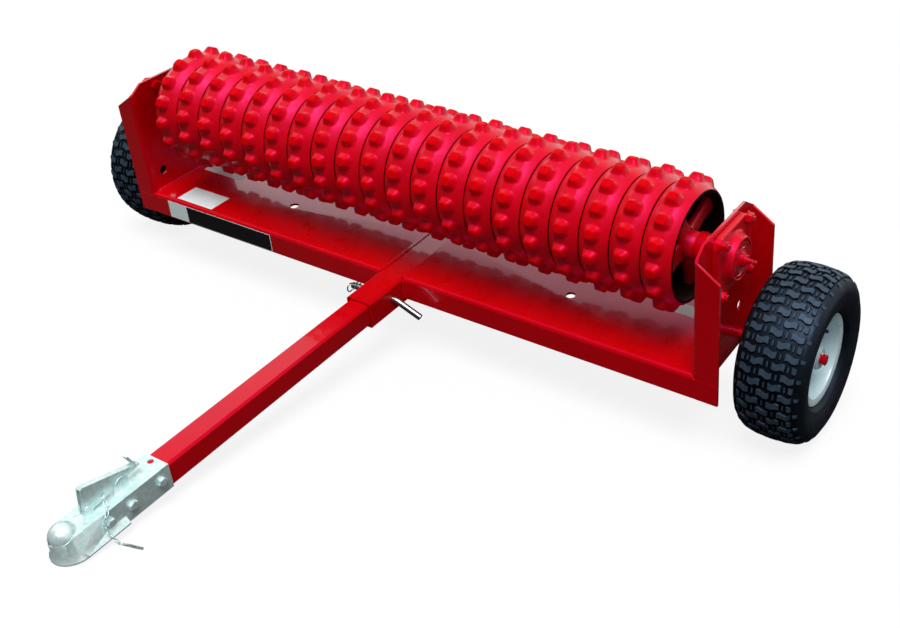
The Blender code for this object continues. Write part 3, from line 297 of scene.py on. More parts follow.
def soften(node, look, width, segments=2, sharp=35.0, reshape=None):
    """A copy of a node's own solid, reshaped if asked, its triangles joined and its edges rounded."""
    mesh = nodes[node].data.copy()
    shape = bmesh.new()
    shape.from_mesh(mesh)
    bmesh.ops.remove_doubles(shape, verts=shape.verts, dist=SOLID_MERGE)
    if reshape:
        moved = on_floor(reshape(off_floor([tuple(v.co) for v in shape.verts])))
        for vertex, point in zip(shape.verts, moved):
            vertex.co = point
    bmesh.ops.dissolve_limit(shape, angle_limit=FLAT_ANGLE, verts=shape.verts, edges=shape.edges)
    shape.to_mesh(mesh)
    shape.free()
    piece = set_down(node + "_finished", mesh, look, nodes[node]["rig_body"], [node], sharp)
    return bevel(piece, width, segments)


# %% [markdown]
# ## Finishes
#
# A finish starts from what the real surface is. Colours are written as sRGB hex, as a paint chart gives
# them, and one function turns them to the linear values that the shader works in. Patterns are in
# millimetres on the object's own coordinates, so they stay put when a wheel turns.

# %% Colours and nodes
def colour(code):
    """An sRGB hex code as linear red, green, blue and an alpha of 1."""
    channels = np.array([int(code[i:i + 2], 16) for i in (0, 2, 4)]) / 255.0
    channels = np.where(channels <= 0.04045, channels / 12.92, ((channels + 0.055) / 1.055) ** 2.4)
    return (*channels.tolist(), 1.0)


def add_node(tree, kind, settings=()):
    """Adds a node. A setting is a property, or an input with its value or another node's output."""
    made = tree.nodes.new("ShaderNode" + kind)
    for key, value in dict(settings).items():
        if isinstance(value, bpy.types.NodeSocket):
            tree.links.new(value, made.inputs[key])
        elif isinstance(key, str) and key in made.bl_rna.properties:
            setattr(made, key, value)
        else:
            made.inputs[key].default_value = value
    return made


def empty_tree(owner):
    """The node tree of a new material or world, with nothing in it yet."""
    owner.use_nodes = True
    owner.node_tree.nodes.clear()
    return owner.node_tree


def grain(tree, place, size_mm, detail):
    """Noise whose lumps are about size_mm across."""
    settings = {"Scale": 1000.0 / size_mm, "Detail": detail, "Vector": place}
    return add_node(tree, "TexNoise", settings).outputs["Fac"]


def between(tree, factor, low, high, first, second):
    """A colour that goes from first to second as the factor goes from low to high."""
    made = add_node(tree, "ValToRGB", {"Fac": factor})
    for stop, place, code in zip(made.color_ramp.elements, (low, high), (first, second)):
        stop.position = place
        stop.color = colour(code)
    return made.outputs["Color"]


def value_between(tree, factor, low, high, first, second):
    """A number that goes from first to second as the factor goes from low to high."""
    settings = {"Value": factor, "From Min": low, "From Max": high, "To Min": first, "To Max": second}
    return add_node(tree, "MapRange", settings).outputs["Result"]


def blend(tree, factor, first, second):
    """The first colour where the factor is 0 and the second where it is 1."""
    return add_node(tree, "Mix", {"data_type": "RGBA", 0: factor, 6: first, 7: second}).outputs[2]


def mark(tree, name):
    """The number that a mesh keeps on its points under this name."""
    return add_node(tree, "Attribute", {"attribute_name": name}).outputs["Fac"]


def compute(tree, operation, *terms):
    """A sum on two or three numbers: each is a constant or another node's output."""
    return add_node(tree, "Math", {"operation": operation, **dict(enumerate(terms))}).outputs["Value"]


def bump(tree, shader, height, depth_mm, strength):
    """Raises the shading by depth_mm where the height is 1."""
    made = add_node(tree, "Bump", {"Strength": strength, "Distance": depth_mm / 1000.0, "Height": height})
    tree.links.new(made.outputs["Normal"], shader.inputs["Normal"])


def skin(tree, shader, start, full, least, most):
    """A clear coat whose weight grows from the least to the most as a face turns away from the eye."""
    facing = add_node(tree, "LayerWeight").outputs["Facing"]
    weight = value_between(tree, facing, start, full, least, most)
    tree.links.new(weight, shader.inputs["Coat Weight"])
    return weight


def finish(name, settings, cloud, gloss, relief):
    """A Principled shader with up to three layers of noise, each with a lump size in mm and a detail.
    The cloud goes between two colours, the gloss between two roughnesses, and the relief has a depth in
    mm and a strength. Two more numbers in a cloud or gloss say where its noise starts and ends."""
    look = bpy.data.materials.new(name)
    tree = empty_tree(look)
    shader = add_node(tree, "BsdfPrincipled", settings)
    add_node(tree, "OutputMaterial", {"Surface": shader.outputs["BSDF"]})
    place = add_node(tree, "TexCoord").outputs["Object"]
    if cloud:
        size, detail, first, second, low, high = (*cloud, 0.3, 0.7)[:6]
        colours = between(tree, grain(tree, place, size, detail), low, high, first, second)
        tree.links.new(colours, shader.inputs["Base Color"])
    if gloss:
        size, detail, first, second, low, high = (*gloss, 0.3, 0.7)[:6]
        rough = value_between(tree, grain(tree, place, size, detail), low, high, first, second)
        tree.links.new(rough, shader.inputs["Roughness"])
    if relief:
        bump(tree, shader, grain(tree, place, *relief[:2]), *relief[2:])
    return look, tree, shader, place


# %% [markdown]
# ### Red enamel on sheet steel
#
# The frame is folded and welded plate, sprayed with a thick gloss enamel. Seen straight on it is a deep
# red with hardly a reflection. Seen along the sheet, its clear skin turns into a mirror: the tray shows
# the bright room behind the roller. So the coat's weight follows the angle at which a face is seen.
# Sprayed paint dries with a faint orange peel, lumps about 3 mm across and some hundredths deep.

# %% Red enamel
def red_enamel():
    """Gloss enamel sprayed on rolled steel: saturated red, mirror skin, faint orange peel."""
    settings = {"IOR": 1.5, "Specular IOR Level": 1.0, "Specular Tint": colour("FF3CA0"),
                "Coat Roughness": 0.06, "Coat IOR": 2.0}
    look, tree, shader, place = finish(
        "red_gloss_enamel_sprayed_on_steel", settings, (180.0, 3.0, "C40004", "CE0206", 0.35, 0.65),
        (40.0, 4.0, 0.26, 0.34, 0.35, 0.7), (3.2, 1.0, 0.02, 0.35))
    skin(tree, shader, 0.36, 0.52, 0.0, 0.8)
    return look


paint = red_enamel()

# %% [markdown]
# ### Red enamel on cast iron
#
# The rings come out of sand moulds, so the same paint lies over grit about 1.5 mm across and softer
# lumps of a centimetre. The skin is less of a mirror, and it spreads the sky into a broad pink sheen.
# Knob tops are worn, and the bore and the rim's end faces are coloured near black as painted shade:
# both lose the skin and most of the gloss.

# %% Painted casting
def cast_enamel():
    """Enamel over sand cast grey iron: the same red, with grit, soft lumps and a duller skin."""
    settings = {"IOR": 1.5, "Specular Tint": colour("FF4BAA"), "Coat Roughness": 0.26, "Coat IOR": 1.8}
    look, tree, shader, place = finish(
        "red_enamel_over_sand_cast_iron", settings, None, (14.0, 4.0, 0.36, 0.5), None)
    red = between(tree, grain(tree, place, 60.0, 4.0), 0.3, 0.7, "C60004", "D80208")
    # The bore and the rim's end faces turn near black: painted shade for the hollow inside the ring.
    bore_shade = mark(tree, "painted_bore_shade")
    tree.links.new(blend(tree, bore_shade, red, colour("140A0A")), shader.inputs["Base Color"])
    dulled = compute(tree, "MAXIMUM", mark(tree, "knob_top"), bore_shade)
    tree.links.new(value_between(tree, dulled, 0.4, 0.95, 1.0, 0.1), shader.inputs["Specular IOR Level"])
    weight = skin(tree, shader, 0.34, 0.76, 0.0, 0.8)
    weight = compute(tree, "MULTIPLY", weight, value_between(tree, dulled, 0.5, 0.95, 1.0, 0.0))
    tree.links.new(weight, shader.inputs["Coat Weight"])
    grit, lumps = grain(tree, place, 1.6, 2.0), grain(tree, place, 11.0, 2.0)
    bump(tree, shader, compute(tree, "MULTIPLY_ADD", grit, 0.22, lumps), 0.5, 0.55)
    return look


cast = cast_enamel()

# %% [markdown]
# ### Zinc plate and ground steel
#
# The coupler, its latch, the chain and the bolts are bright zinc plated: a thin metal skin, a little
# cloudy, pale with a green-grey cast. Plating follows the rolled sheet under it, so its gloss changes in
# patches of a few millimetres. The hitch pin and the clips are turned and ground steel: fine rings left
# by the tool blur the mirror.

# %% Zinc and steel
zinc = finish("bright_zinc_plated_steel", {"Metallic": 0.45}, (9.0, 5.0, "C4ECEA", "F4FEFE"),
              (5.0, 3.0, 0.28, 0.44), (2.0, 2.0, 0.03, 0.3))[0]
steel = finish("turned_and_ground_steel", {"Metallic": 1.0}, (12.0, 4.0, "9FA5A8", "B9BEC0"),
               (0.8, 2.0, 0.24, 0.38), (0.8, 1.0, 0.01, 0.3))[0]

# %% [markdown]
# ### Tyre rubber, wheel paint and vinyl
#
# Moulded rubber is black with a broad dull gloss. The tops of the tread blocks are coloured grey-blue, a
# painted reflection of the sky, with a mottle of handling dust, so they are lighter than the grooves; the
# mesh carries a number for that, 1 on the tops. The wheel is pressed steel in a pale grey-green stove
# enamel, smooth and half gloss. Labels are printed vinyl film with the faint mottle of ink, and the valve
# stems are smooth moulded rubber.

# %% Rubber, wheel paint and vinyl
def tyre_rubber():
    """Black moulded rubber: dull, faintly pebbled, with a painted grey-blue sky reflection and dust on
    block tops.
    """
    settings = {"IOR": 1.5, "Specular IOR Level": 0.45, "Specular Tint": colour("B4D2FF")}
    look, tree, shader, place = finish(
        "black_moulded_tyre_rubber", settings, None, (25.0, 4.0, 0.42, 0.62), (1.2, 2.0, 0.06, 0.4))
    # Block tops are coloured grey-blue as a painted reflection of the sky, with a mottle of dust.
    dust = value_between(tree, grain(tree, place, 7.0, 4.0), 0.3, 0.7, 0.55, 1.0)
    sheen_and_dust = compute(tree, "MULTIPLY", mark(tree, "block_top"), dust)
    tree.links.new(between(tree, sheen_and_dust, 0.0, 1.0, "020406", "364654"), shader.inputs["Base Color"])
    return look


def smooth_film(name, first, second):
    """A smooth film or moulding in one colour with a faint mottle."""
    settings = {"Roughness": 0.4, "Coat Weight": 0.3, "Coat Roughness": 0.15}
    return finish(name, settings, (6.0, 3.0, first, second), None, (4.0, 1.0, 0.01, 0.2))[0]


rubber = tyre_rubber()
wheel_paint = finish("pale_grey_stove_enamel_on_pressed_steel",
                     {"Roughness": 0.3, "Coat Weight": 0.4, "Coat Roughness": 0.12},
                     (50.0, 3.0, "C6E0E6", "D6ECF2"), (20.0, 4.0, 0.26, 0.36), (2.5, 1.0, 0.02, 0.3))[0]
cream_vinyl = smooth_film("pale_printed_vinyl", "DCEEEE", "ECF8F8")
black_vinyl = smooth_film("black_printed_vinyl", "0E0D0F", "191719")
valve_rubber = smooth_film("black_moulded_rubber_valve", "121214", "1C1C1F")
print("finishes:", len(bpy.data.materials))

# %% [markdown]
# ## The rings
#
# Each ring is one casting: a rim that rises to a crown, sixteen square knobs on the crown, four spokes
# and a hub. A rim with knobs is a height map wrapped round a wheel. The radius is the crown's curve,
# raised to the knob's top where two ramps meet: one across the rim and one round it. The ramps give the
# knobs the draft that lets them leave the sand, and the grid has more lines there than on the flats.
# The bore and the rim's end faces are coloured near black as painted shade for the hollow inside the
# ring: the mesh carries a number for that, 1 on those faces.

# %% Ring sizes
RING_COUNT = 20
RING_PITCH = 0.0762
RING_HALF = 0.0369
CROWN_HALF = 0.012
RING_EDGE_RADIUS = 0.1275
RING_CROWN_RADIUS = 0.1403
RING_BORE_RADIUS = 0.119
LUG_COUNT = 16
LUG_TIP_RADIUS = 0.156
KNOB_HALF_WIDTH = 0.0205
KNOB_HALF_ANGLE = 7.9
KNOB_SQUARENESS = 3.2
GAP = 0.0003
ROLLER = (0.0, 0.146, 0.2265)
RING_TURNS = (20, 7, 7.5, 12, 10, 19.5, 19, 10, 2.5, 18, 0, 6.5, 15.5, 12, 15.5, 5.5, 4.5, 2, 15, 19.5)


def ramp(distance, full, foot):
    """1 up to the full distance, 0 past the foot, and a smooth S between them."""
    t = np.clip((foot - distance) / (foot - full), 0.0, 1.0)
    return t * t * (3.0 - 2.0 * t)


# %% The rim with its knobs
def ring_rim():
    """A height map over (x, angle): the crown with its knobs, closed through both faces and the bore."""
    across = np.array([0.0, 5, 8, 9.5, 11, 13, 15, 17, 19, 21, 24, 28, 32, 35, 36.4]) / 1000.0
    across = np.concatenate([-across[:0:-1], across])
    round_one = np.array([0.0, 1.8, 3.1, 3.7, 4.3, 5.1, 5.9, 6.7, 7.5, 8.4, 9.8])
    half_pitch = 180.0 / LUG_COUNT
    round_one = np.concatenate([-round_one[:0:-1], round_one, [half_pitch]])
    angle = (np.arange(LUG_COUNT)[:, None] * 360.0 / LUG_COUNT + round_one).ravel()
    x, a = np.meshgrid(across, angle, indexing="ij")
    slope = np.clip((np.abs(x) - CROWN_HALF) / (RING_HALF - CROWN_HALF), 0.0, 1.0)
    crown = RING_CROWN_RADIUS - (RING_CROWN_RADIUS - RING_EDGE_RADIUS) * slope**1.5
    turn = np.abs((a + half_pitch) % (2 * half_pitch) - half_pitch)
    square = np.abs(x / KNOB_HALF_WIDTH) ** KNOB_SQUARENESS + (turn / KNOB_HALF_ANGLE) ** KNOB_SQUARENESS
    distance = square ** (1.0 / KNOB_SQUARENESS)
    knob = ramp(distance, 0.44, 1.04)
    radius = crown + (LUG_TIP_RADIUS - GAP - crown) * knob
    inner = [(RING_HALF, 0.1266), (RING_HALF, 0.1199), (0.036, RING_BORE_RADIUS)]
    inner = np.array(inner + mirrored(inner[::-1], -1))
    count = len(angle)
    x = np.vstack([x, np.repeat(inner[:, :1], count, 1)])
    radius = np.vstack([radius, np.repeat(inner[:, 1:], count, 1)])
    return around(x, radius, np.radians(angle)).reshape(-1, 3), grid_faces(len(x), count, True, True)


# %% Spokes and hub
def ring_spokes():
    """Four rounded bars from hub to rim, widest at both ends, and the turned hub."""
    outline = rounded_square(1.0, 0.28, 3)
    reach = np.array([0.027, 0.034, 0.045, 0.08, 0.108, 0.1195])
    width = np.array([0.054, 0.05, 0.045, 0.04, 0.043, 0.05])
    thick = np.array([0.026, 0.022, 0.018, 0.017, 0.019, 0.026])
    x = (thick[:, None] * outline[:, 0]).ravel()
    side = (width[:, None] * outline[:, 1]).ravel()
    arm = np.stack([x, np.repeat(reach, len(outline)), side], 1)
    faces = capped_faces(len(reach), len(outline))
    parts = [(rolled(arm, turn), faces) for turn in (0, 90, 180, 270)]
    half_hub = run(RING_PITCH / 2 - GAP, (-1, 32), (0, 31), (0, 22.4))
    parts.append(turned(mirrored(half_hub[::-1], -1) + half_hub, 40))
    return merged(parts)


rim, arms = ring_rim(), ring_spokes()
one_ring = merged([rim, arms])
from_axis = np.hypot(one_ring[0][:, 1], one_ring[0][:, 2])
is_rim = np.arange(len(one_ring[0])) < len(rim[0])
knob_top = np.where(is_rim, (from_axis - RING_CROWN_RADIUS) / (LUG_TIP_RADIUS - RING_CROWN_RADIUS), 0.0)
knob_top = np.clip(knob_top, 0.0, 1.0).astype(np.float32)
# 1 on the bore and the rim's end faces, which are coloured near black as painted shade
painted_bore_shade = (is_rim & (from_axis < 0.1268)).astype(np.float32)
print("one ring:", len(one_ring[0]), "points,", len(one_ring[1]), "faces")

# %% Twenty rings
for index, turn in enumerate(RING_TURNS):
    place = (index - (RING_COUNT - 1) / 2) * RING_PITCH
    shape = (rolled(one_ring[0], turn) + (place, *ROLLER[1:]), one_ring[1])
    name = f"ring_{index + 1:02d}"
    dress(name, "_casting", shape, cast, 50.0, {"painted_bore_shade": painted_bore_shade, "knob_top": knob_top})

# %% [markdown]
# ## Shaft, spacers and bearings
#
# Outside the last ring a painted tube spaces the gang from the end plate. The shaft ends in a bearing:
# a disc with a locking collar inside a cast flange housing, and the housing hangs on four bolts. All of
# these are turned shapes, so each is a profile carried round the shaft's line.

# %% Plates and bearings along X
PLATE_INNER_X = 0.82185
PLATE_THICKNESS = 0.00635
SIDES = (-1, 1)
housing_face = PLATE_INNER_X + PLATE_THICKNESS + GAP
HUB_LENGTH = 0.036
hub_end = housing_face + HUB_LENGTH


def both_sides(make):
    """Runs a maker for the left side with -1 and for the right side with 1."""
    for side, word in zip(SIDES, ("left", "right")):
        make(side, word)


def make_spacer(side, word):
    """A tube with small chamfers between the end ring and the plate."""
    profile = run(RING_COUNT * RING_PITCH / 2 + GAP, (0, 22.4), (0, 35), (0.6, 35.5))
    profile += run(PLATE_INNER_X - 2 * GAP, (-0.6, 35.5), (0, 35), (0, 22.4))
    shape = turned(mirrored(profile, side), 56, ROLLER)
    dress(f"hub_spacer_{word}", "_tube", shape, paint)


def make_insert(side, word):
    """The bearing's seal disc with a raised edge, and the locking collar round the shaft."""
    profile = run(housing_face + GAP, (0, 22.4), (0, 40.5))
    profile += run(hub_end, (-1.8, 40.5), (-0.6, 40), (-0.6, 37.2), (-2.4, 36), (-2.4, 28.5), (-1.4, 27),
                   (-0.2, 26.4), (0, 25.6), (0, 23.6), (-0.6, 22.4))
    shape = turned(mirrored(profile, side), 64, ROLLER)
    dress(f"bearing_insert_{word}", "_disc", shape, paint)


both_sides(make_spacer)
both_sides(make_insert)

# The bar through the gang, with chamfered ends and a grease nipple in each
half_bar = run(hub_end, (-0.6, 22), (0, 21.2), (0, 17), (3.5, 16.6), (4, 14.5), (7.5, 14.5), (8, 12.4),
               (11.4, 12), (12, 11.2), (12, 5.5), (21.5, 5.2), (22.5, 3.6), (26, 3.2), (27, 4.6),
               (30, 4.8), (32.5, 3), (33, 0.4))
bar = turned(mirrored(half_bar[::-1], -1) + half_bar, 32, ROLLER)
dress("roller_shaft", "_bar", bar, paint)

# %% [markdown]
# The flange housing is cast in one: a square foot with rounded corners, a boss that swells out of it,
# and a round hub with a lip. The foot is a plate, and the boss a turned profile with a fillet where it
# leaves the foot. The paint has run into the joint with the disc, which shows as one dark ring.

# %% Flange housings
def make_housing(side, word):
    """A rounded square foot and a turned boss about one bore."""
    foot = plate(rounded_square(0.15, 0.022, 8) + np.array(ROLLER[1:]), "X", side * housing_face,
                 side * (housing_face + 0.0155))
    boss = run(housing_face, (4, 41.2), (4, 64), (15, 62.5), (17.2, 59), (19.8, 56.2), (25, 53.5),
               (30, 51.5), (33.6, 50.3), (35.6, 48.8), (36, 47.5), (36, 45.2), (35.4, 44.6), (28.2, 44.2),
               (28, 41.2))
    boss = turned(mirrored(boss, side), 72, ROLLER)
    node = f"bearing_housing_{word}"
    bevel(dress(node, "_foot", foot, cast), 0.0022, 3)
    add_piece(node + "_boss", boss, cast, "frame")


both_sides(make_housing)

# %% Hexagon bolts and nuts
def hex_solid(radius, start, stop, centre, phase=0.0):
    """A hexagon bar along X whose outer end is chamfered: full corners, then a smaller ring of points."""
    inner = arc((0.0, 0.0), radius, phase, phase + 300.0, 5)
    chamfer = math.copysign(min(0.0012, abs(stop - start) / 3), stop - start)
    rings = [(start, 1.0), (stop - chamfer, 1.0), (stop, 0.86)]
    points = np.vstack([np.insert(inner * share, 0, x, axis=1) for x, share in rings])
    return points + np.asarray(centre), capped_faces(len(rings), 6)


def rod(radius, start, stop, centre, steps=20, threads=0.0):
    """A round bar along X, chamfered at its far end, with ridges if a thread's pitch is given."""
    way = math.copysign(1.0, stop - start)
    length = abs(stop - start)
    if threads:
        places = np.arange(0.0, length - 0.002, threads / 2)
        radii = radius - 0.0005 * (np.arange(len(places)) % 2)
    else:
        places, radii = np.array([0.0, length * 0.5]), np.array([radius, radius])
    profile = [(start, 0.0004)] + [(start + way * p, r) for p, r in zip(places, radii)]
    profile += [(stop - way * 0.0012, radius), (stop, radius - 0.0012), (stop, 0.0004)]
    return turned(profile, steps, centre)


BOLT_SQUARE = 0.127
BOLT_RADIUS, NUT_RADIUS = 0.0079, 0.0137


def make_bearing_bolts(side, word):
    """Head inside the plate, washer and nut on the housing's foot, and the thread's end past the nut."""
    spread = BOLT_SQUARE / 2
    seat = side * (housing_face + 0.016 + GAP)
    inside = side * (PLATE_INNER_X - GAP)
    for index, (y, z) in enumerate(oblong(-spread, -spread, spread, spread)):
        centre = (0.0, ROLLER[1] + y, ROLLER[2] + z)
        turn = 11.0 + 17.0 * index
        washer = mirrored(run(abs(seat), (0, 8), (0, 15.5), (1.8, 15.2), (2, 8)), side)
        parts = [
            hex_solid(NUT_RADIUS, inside, inside - side * 0.0095, centre, turn),
            rod(BOLT_RADIUS, inside, seat, centre),
            turned(washer, 32, centre),
            hex_solid(NUT_RADIUS, seat + side * 0.002, seat + side * 0.0135, centre, turn + 20),
            rod(BOLT_RADIUS - GAP, seat, side * (PLATE_INNER_X + PLATE_THICKNESS + 0.035), centre, 20,
                0.0016),
        ]
        dress(f"bearing_bolt_{word}_{index + 1}", "_set", merged(parts), paint)


both_sides(make_bearing_bolts)

# %% [markdown]
# ## Folded frame
#
# The tray and the end plates are folded from quarter-inch plate, and the hitch is square tube. Their
# solids have the right folds, so copies of them are used, with their triangles joined into flat faces
# and each edge rounded by a millimetre or two, as grinding and thick paint leave it. Only the drilled
# holes of the end plates are opened out, to the width that they show.

# %% Sheet and tube
PLATE_HOLES = ((0.046, 0.05), (0.22, 0.05))


def open_holes(points):
    """Each point on the rim of a drilled hole moves out to twice its distance from the hole's axis."""
    x, y, z = points.T.copy()
    for across, up in PLATE_HOLES:
        rim = np.hypot(y - across, z - up) < 0.0075
        y = np.where(rim, 2.0 * y - across, y)
        z = np.where(rim, 2.0 * z - up, z)
    return np.stack([x, y, z], 1)


soften("tray_channel", paint, 0.0014)
for node in ("end_plate_left", "end_plate_right"):
    soften(node, paint, 0.0014, reshape=open_holes)
for node in ("receiver_tube", "drawbar_tube"):
    soften(node, paint, 0.002, 3)

# %% Welds
BEADS = ((PLATE_INNER_X - 0.0005, (0.012, 0.0005), (0.262, 0.0005), 0.0034),
         (0.0362, (-0.0015, -0.008), (-0.0015, -0.06), 0.003),
         (0.8217, (0.001, 0.0015), (0.001, -0.0115), 0.0032))
RIPPLE = 0.003


def weld(start, stop, radius):
    """A bead along a line: a tube whose radius swells at each pool the welder left."""
    start, stop = np.array(start), np.array(stop)
    length = float(np.linalg.norm(stop - start))
    share = np.linspace(0.0, 1.0, max(int(length / RIPPLE) * 4, 8) + 1)
    wave = np.abs(np.sin(share * length / RIPPLE * math.pi))
    taper = np.clip(np.minimum(share, 1 - share) * length / radius / 1.5, 0.25, 1.0)
    return tube(start + (stop - start) * share[:, None], radius * (0.82 + 0.18 * wave) * taper, 10)


beads = [weld((side * x, *start), (side * x, *stop), radius)
         for side in SIDES for x, start, stop, radius in BEADS]
add_piece("weld_beads", merged(beads), cast, "frame", sharp=60.0)

# %% Seams filled and ground flush along the receiver
RECEIVER_SIDE = 0.0364


def flush(name, parts, look=paint):
    """Thin plates that lie on the painted frame, as one piece."""
    add_piece(name, merged(parts), look, "frame")


fills = [plate(oblong(side * 0.03, 0.0012, side * RECEIVER_SIDE, 0.1995), "Z", -0.004, 0.00015)
         for side in SIDES]
flush("notch_seam_fill", fills)

# %% [markdown]
# The tray's front flange and the end plates' flanges are welded edge to edge, and the joint is ground
# flat before painting. From in front they read as one sheet that runs past the plates, so one thin skin
# on each side of the receiver covers the joint, with a small plug behind it where the two folds meet.

# %% Front flange ground flush
FLANGE_FOOT, FLANGE_TOP, FLANGE_END = -0.0614, -0.0094, 0.8822
skins = [plate(oblong(side * RECEIVER_SIDE, FLANGE_FOOT, side * FLANGE_END, FLANGE_TOP), "Y", -0.0005,
               0.001) for side in SIDES]
plugs = [plate(oblong(side * 0.819, 0.003, side * 0.83, 0.01), "Z", -0.01, -0.0024) for side in SIDES]
flush("front_flange_skin", skins + plugs)

# %% [markdown]
# ## Road wheels
#
# A 16 by 6.50-8 turf tyre on a pressed rim. The carcass is a turned profile. The tread is rows of
# blocks shaped like short waves: three rows at the middle and two between them, half a pitch behind,
# with small blocks at the shoulders. One block's outline is wrapped onto the carcass for every place,
# as one array, with a base, a wall and a slightly smaller top.

# %% Wheel sizes
WHEEL_X = 0.9735
HUB_BACK, HUB_FRONT = 0.057, 0.05
AXLE_END = WHEEL_X + 0.0666
BLOCK_PITCHES = 27
BLOCK_ROOT, BLOCK_EDGE, BLOCK_TOP_SHARE = -0.007, -0.0012, 0.9
tread_x = np.array([0.0, 0.03, 0.056, 0.072, 0.079, 0.0825])
tread_r = np.array([0.2021, 0.201, 0.196, 0.1865, 0.176, 0.16])


def tread_radius(x):
    """The tyre's outer radius at a distance from its middle, smooth through the solid's own profile."""
    x = np.abs(x)
    fine = np.linspace(0.0, 0.0825, 111)
    r = np.interp(fine, tread_x, tread_r)
    kernel = np.hanning(15) / np.hanning(15).sum()
    r = np.convolve(np.pad(r, 7, mode="reflect", reflect_type="odd"), kernel, mode="valid")
    return np.interp(x, fine, r)


# %% Carcass
def tyre_carcass(side):
    """The casing's closed profile: groove floor, shoulder, sidewall with a rim guard, bead and inside."""
    floor_x = np.linspace(0.0, 0.08, 17)
    floor = [(x, float(tread_radius(x)) - 0.0055 * float(ramp(x, 0.058, 0.08))) for x in floor_x]
    half = floor + run(
        0, (82.2, 166), (82.5, 158), (81.8, 148), (80, 138), (76.8, 128), (73.5, 121.5), (72.8, 118.5),
        (70, 116), (66.4, 113.5), (61, 111.2), (57.8, 109.6), (55.6, 95.2),
        (46, 95), (56, 112), (69, 135), (70, 155), (62, 175), (48, 187))
    return turned(mirrored(half + mirrored(half[:0:-1], -1), side), 112)


# %% Tread blocks
def wave_block(width, depth, lift):
    """A block's outline in (across, along). Its long edges wave by the lift."""
    u = np.linspace(-0.5, 0.5, 6)
    rise = lift * np.sin(u * 2.0 * math.pi)
    top = np.stack([u * width, rise + depth * (0.5 + 0.06 * np.cos(u * 2.0 * math.pi))], 1)
    bottom = np.stack([u * width, rise - depth * (0.5 - 0.06 * np.cos(u * 2.0 * math.pi))], 1)
    return np.vstack([bottom, top[::-1]])


def blocks(outline, across, phase, height):
    """One outline at a place across the tyre, repeated round it: points, faces and the top mark."""
    count = len(outline)
    turns = (np.arange(BLOCK_PITCHES) + phase) * 2.0 * math.pi / BLOCK_PITCHES
    middle = outline.mean(0)
    shapes = []
    for share, rise in ((1.0, BLOCK_ROOT), (1.0, BLOCK_EDGE + height), (BLOCK_TOP_SHARE, height)):
        flat = middle + (outline - middle) * share
        x = across + flat[:, 0]
        shapes.append(around(x, tread_radius(x) + rise, turns[:, None] + flat[:, 1] / TYRE_RADIUS))
    points = np.stack(shapes, 1).reshape(-1, 3)
    top = np.tile(np.repeat((0.0, 0.0, 1.0), count), BLOCK_PITCHES)
    ring = grid_faces(3, count, False, True)
    starts = np.arange(BLOCK_PITCHES)[:, None, None] * 3 * count
    sides = (ring + starts).reshape(-1, 4).tolist()
    caps = (np.arange(count) + 2 * count + starts[:, :, 0]).tolist()
    return points, [tuple(face) for face in sides + caps], top


def tyre_tread():
    """Every block of the tread: wide waves in staggered columns, small blocks at the edges and thin ties.
    A row holds a block's width, depth and lift, its phase and height, and its places across the tyre."""
    rows = [
        ((0.03, 0.015, 0.0028), 0.0, 0.0, (-0.048, 0.0, 0.048)),
        ((0.03, 0.015, -0.0028), 0.5, 0.0, (-0.024, 0.024)),
        ((0.009, 0.015, 0.0008), 0.5, 0.0, (-0.0585, 0.0585)),
        ((0.0034, 0.013, 0.0), 0.0, -0.0012, (-0.024, 0.024)),
        ((0.0034, 0.013, 0.0), 0.5, -0.0012, (-0.046, 0.0, 0.046)),
        ((0.0085, 0.009, 0.0), 0.0, 0.0, (-0.0705, 0.0705)),
    ]
    made = [blocks(wave_block(*size), x, phase, height)
            for size, phase, height, places in rows for x in places]
    points, faces = merged([(p, f) for p, f, top in made])
    return points, faces, np.concatenate([top for p, f, top in made])


def at_wheel(shape, side):
    """A shape about the origin, carried to the wheel on that side."""
    return shape[0] + np.array([side * WHEEL_X, *AXLE]), shape[1]


def make_tyre(side, word):
    """The carcass and its tread as one piece, with the mark for block tops kept on its points."""
    carcass, tread = tyre_carcass(side), tyre_tread()
    marks = np.concatenate([np.zeros(len(carcass[0])), tread[2]]).astype(np.float32)
    shape = at_wheel(merged([carcass, tread[:2]]), side)
    dress(f"tyre_{word}", "_rubber", shape, rubber, 38.0, {"block_top": marks})


both_sides(make_tyre)

# %% Rims, washers and axles
def make_rim(side, word):
    """A dished disc welded into a rolled rim, with the hub tube through it."""
    lip = run(0, (56, 93.7), (58.5, 95), (60, 98.5), (60.6, 104), (61.2, 106.8), (62.2, 108), (63, 106.8),
              (63, 104), (61.8, 98.5), (61.2, 94.5), (60, 91.5), (56, 90.2))
    front = run(0, (30, 90), (12, 89.6), (4, 87), (1.5, 82), (3, 74), (7.5, 66), (12, 60), (13.8, 54),
                (14, 44), (14, 33), (14.8, 30), (17.2, 28), (18, 27), (49.2, 27), (50, 26.2), (50, 13.3))
    back = run(0, (-57, 13.3), (-57, 26.2), (-56.2, 27), (9.5, 27), (10, 40), (9.8, 56), (8, 62), (3, 70),
               (-2, 79), (-3.5, 85), (-6, 89), (-15, 90.2))
    rim = turned(mirrored(lip + front + back + mirrored(lip[::-1], -1), side), 96)
    stem = run(0, (26, 90.5), (36, 83), (47, 79.5), (65.5, 78.3))
    stem_path = smooth_path([(side * x, 0.0, z) for x, z in stem], 5)
    count = len(stem_path)
    stem_radius = np.interp(np.arange(count) / (count - 1), [0, 0.25, 0.3, 0.72, 0.74, 1.0],
                            [0.0065, 0.006, 0.0045, 0.0045, 0.004, 0.004])
    stem = tube(stem_path, stem_radius, 16)
    dress(f"wheel_rim_{word}", "_pressing", at_wheel(rim, side), wheel_paint)
    add_piece(f"valve_stem_{word}", at_wheel(stem, side), valve_rubber, f"wheel_{word}")
    washer = run(HUB_FRONT + GAP, (0, 13.3), (0, 23.5), (0.5, 24), (2.5, 24), (3, 23.5), (3, 13.3))
    washer = at_wheel(turned(mirrored(washer, side), 48), side)
    dress(f"axle_washer_{word}", "_disc", washer, zinc)


both_sides(make_rim)


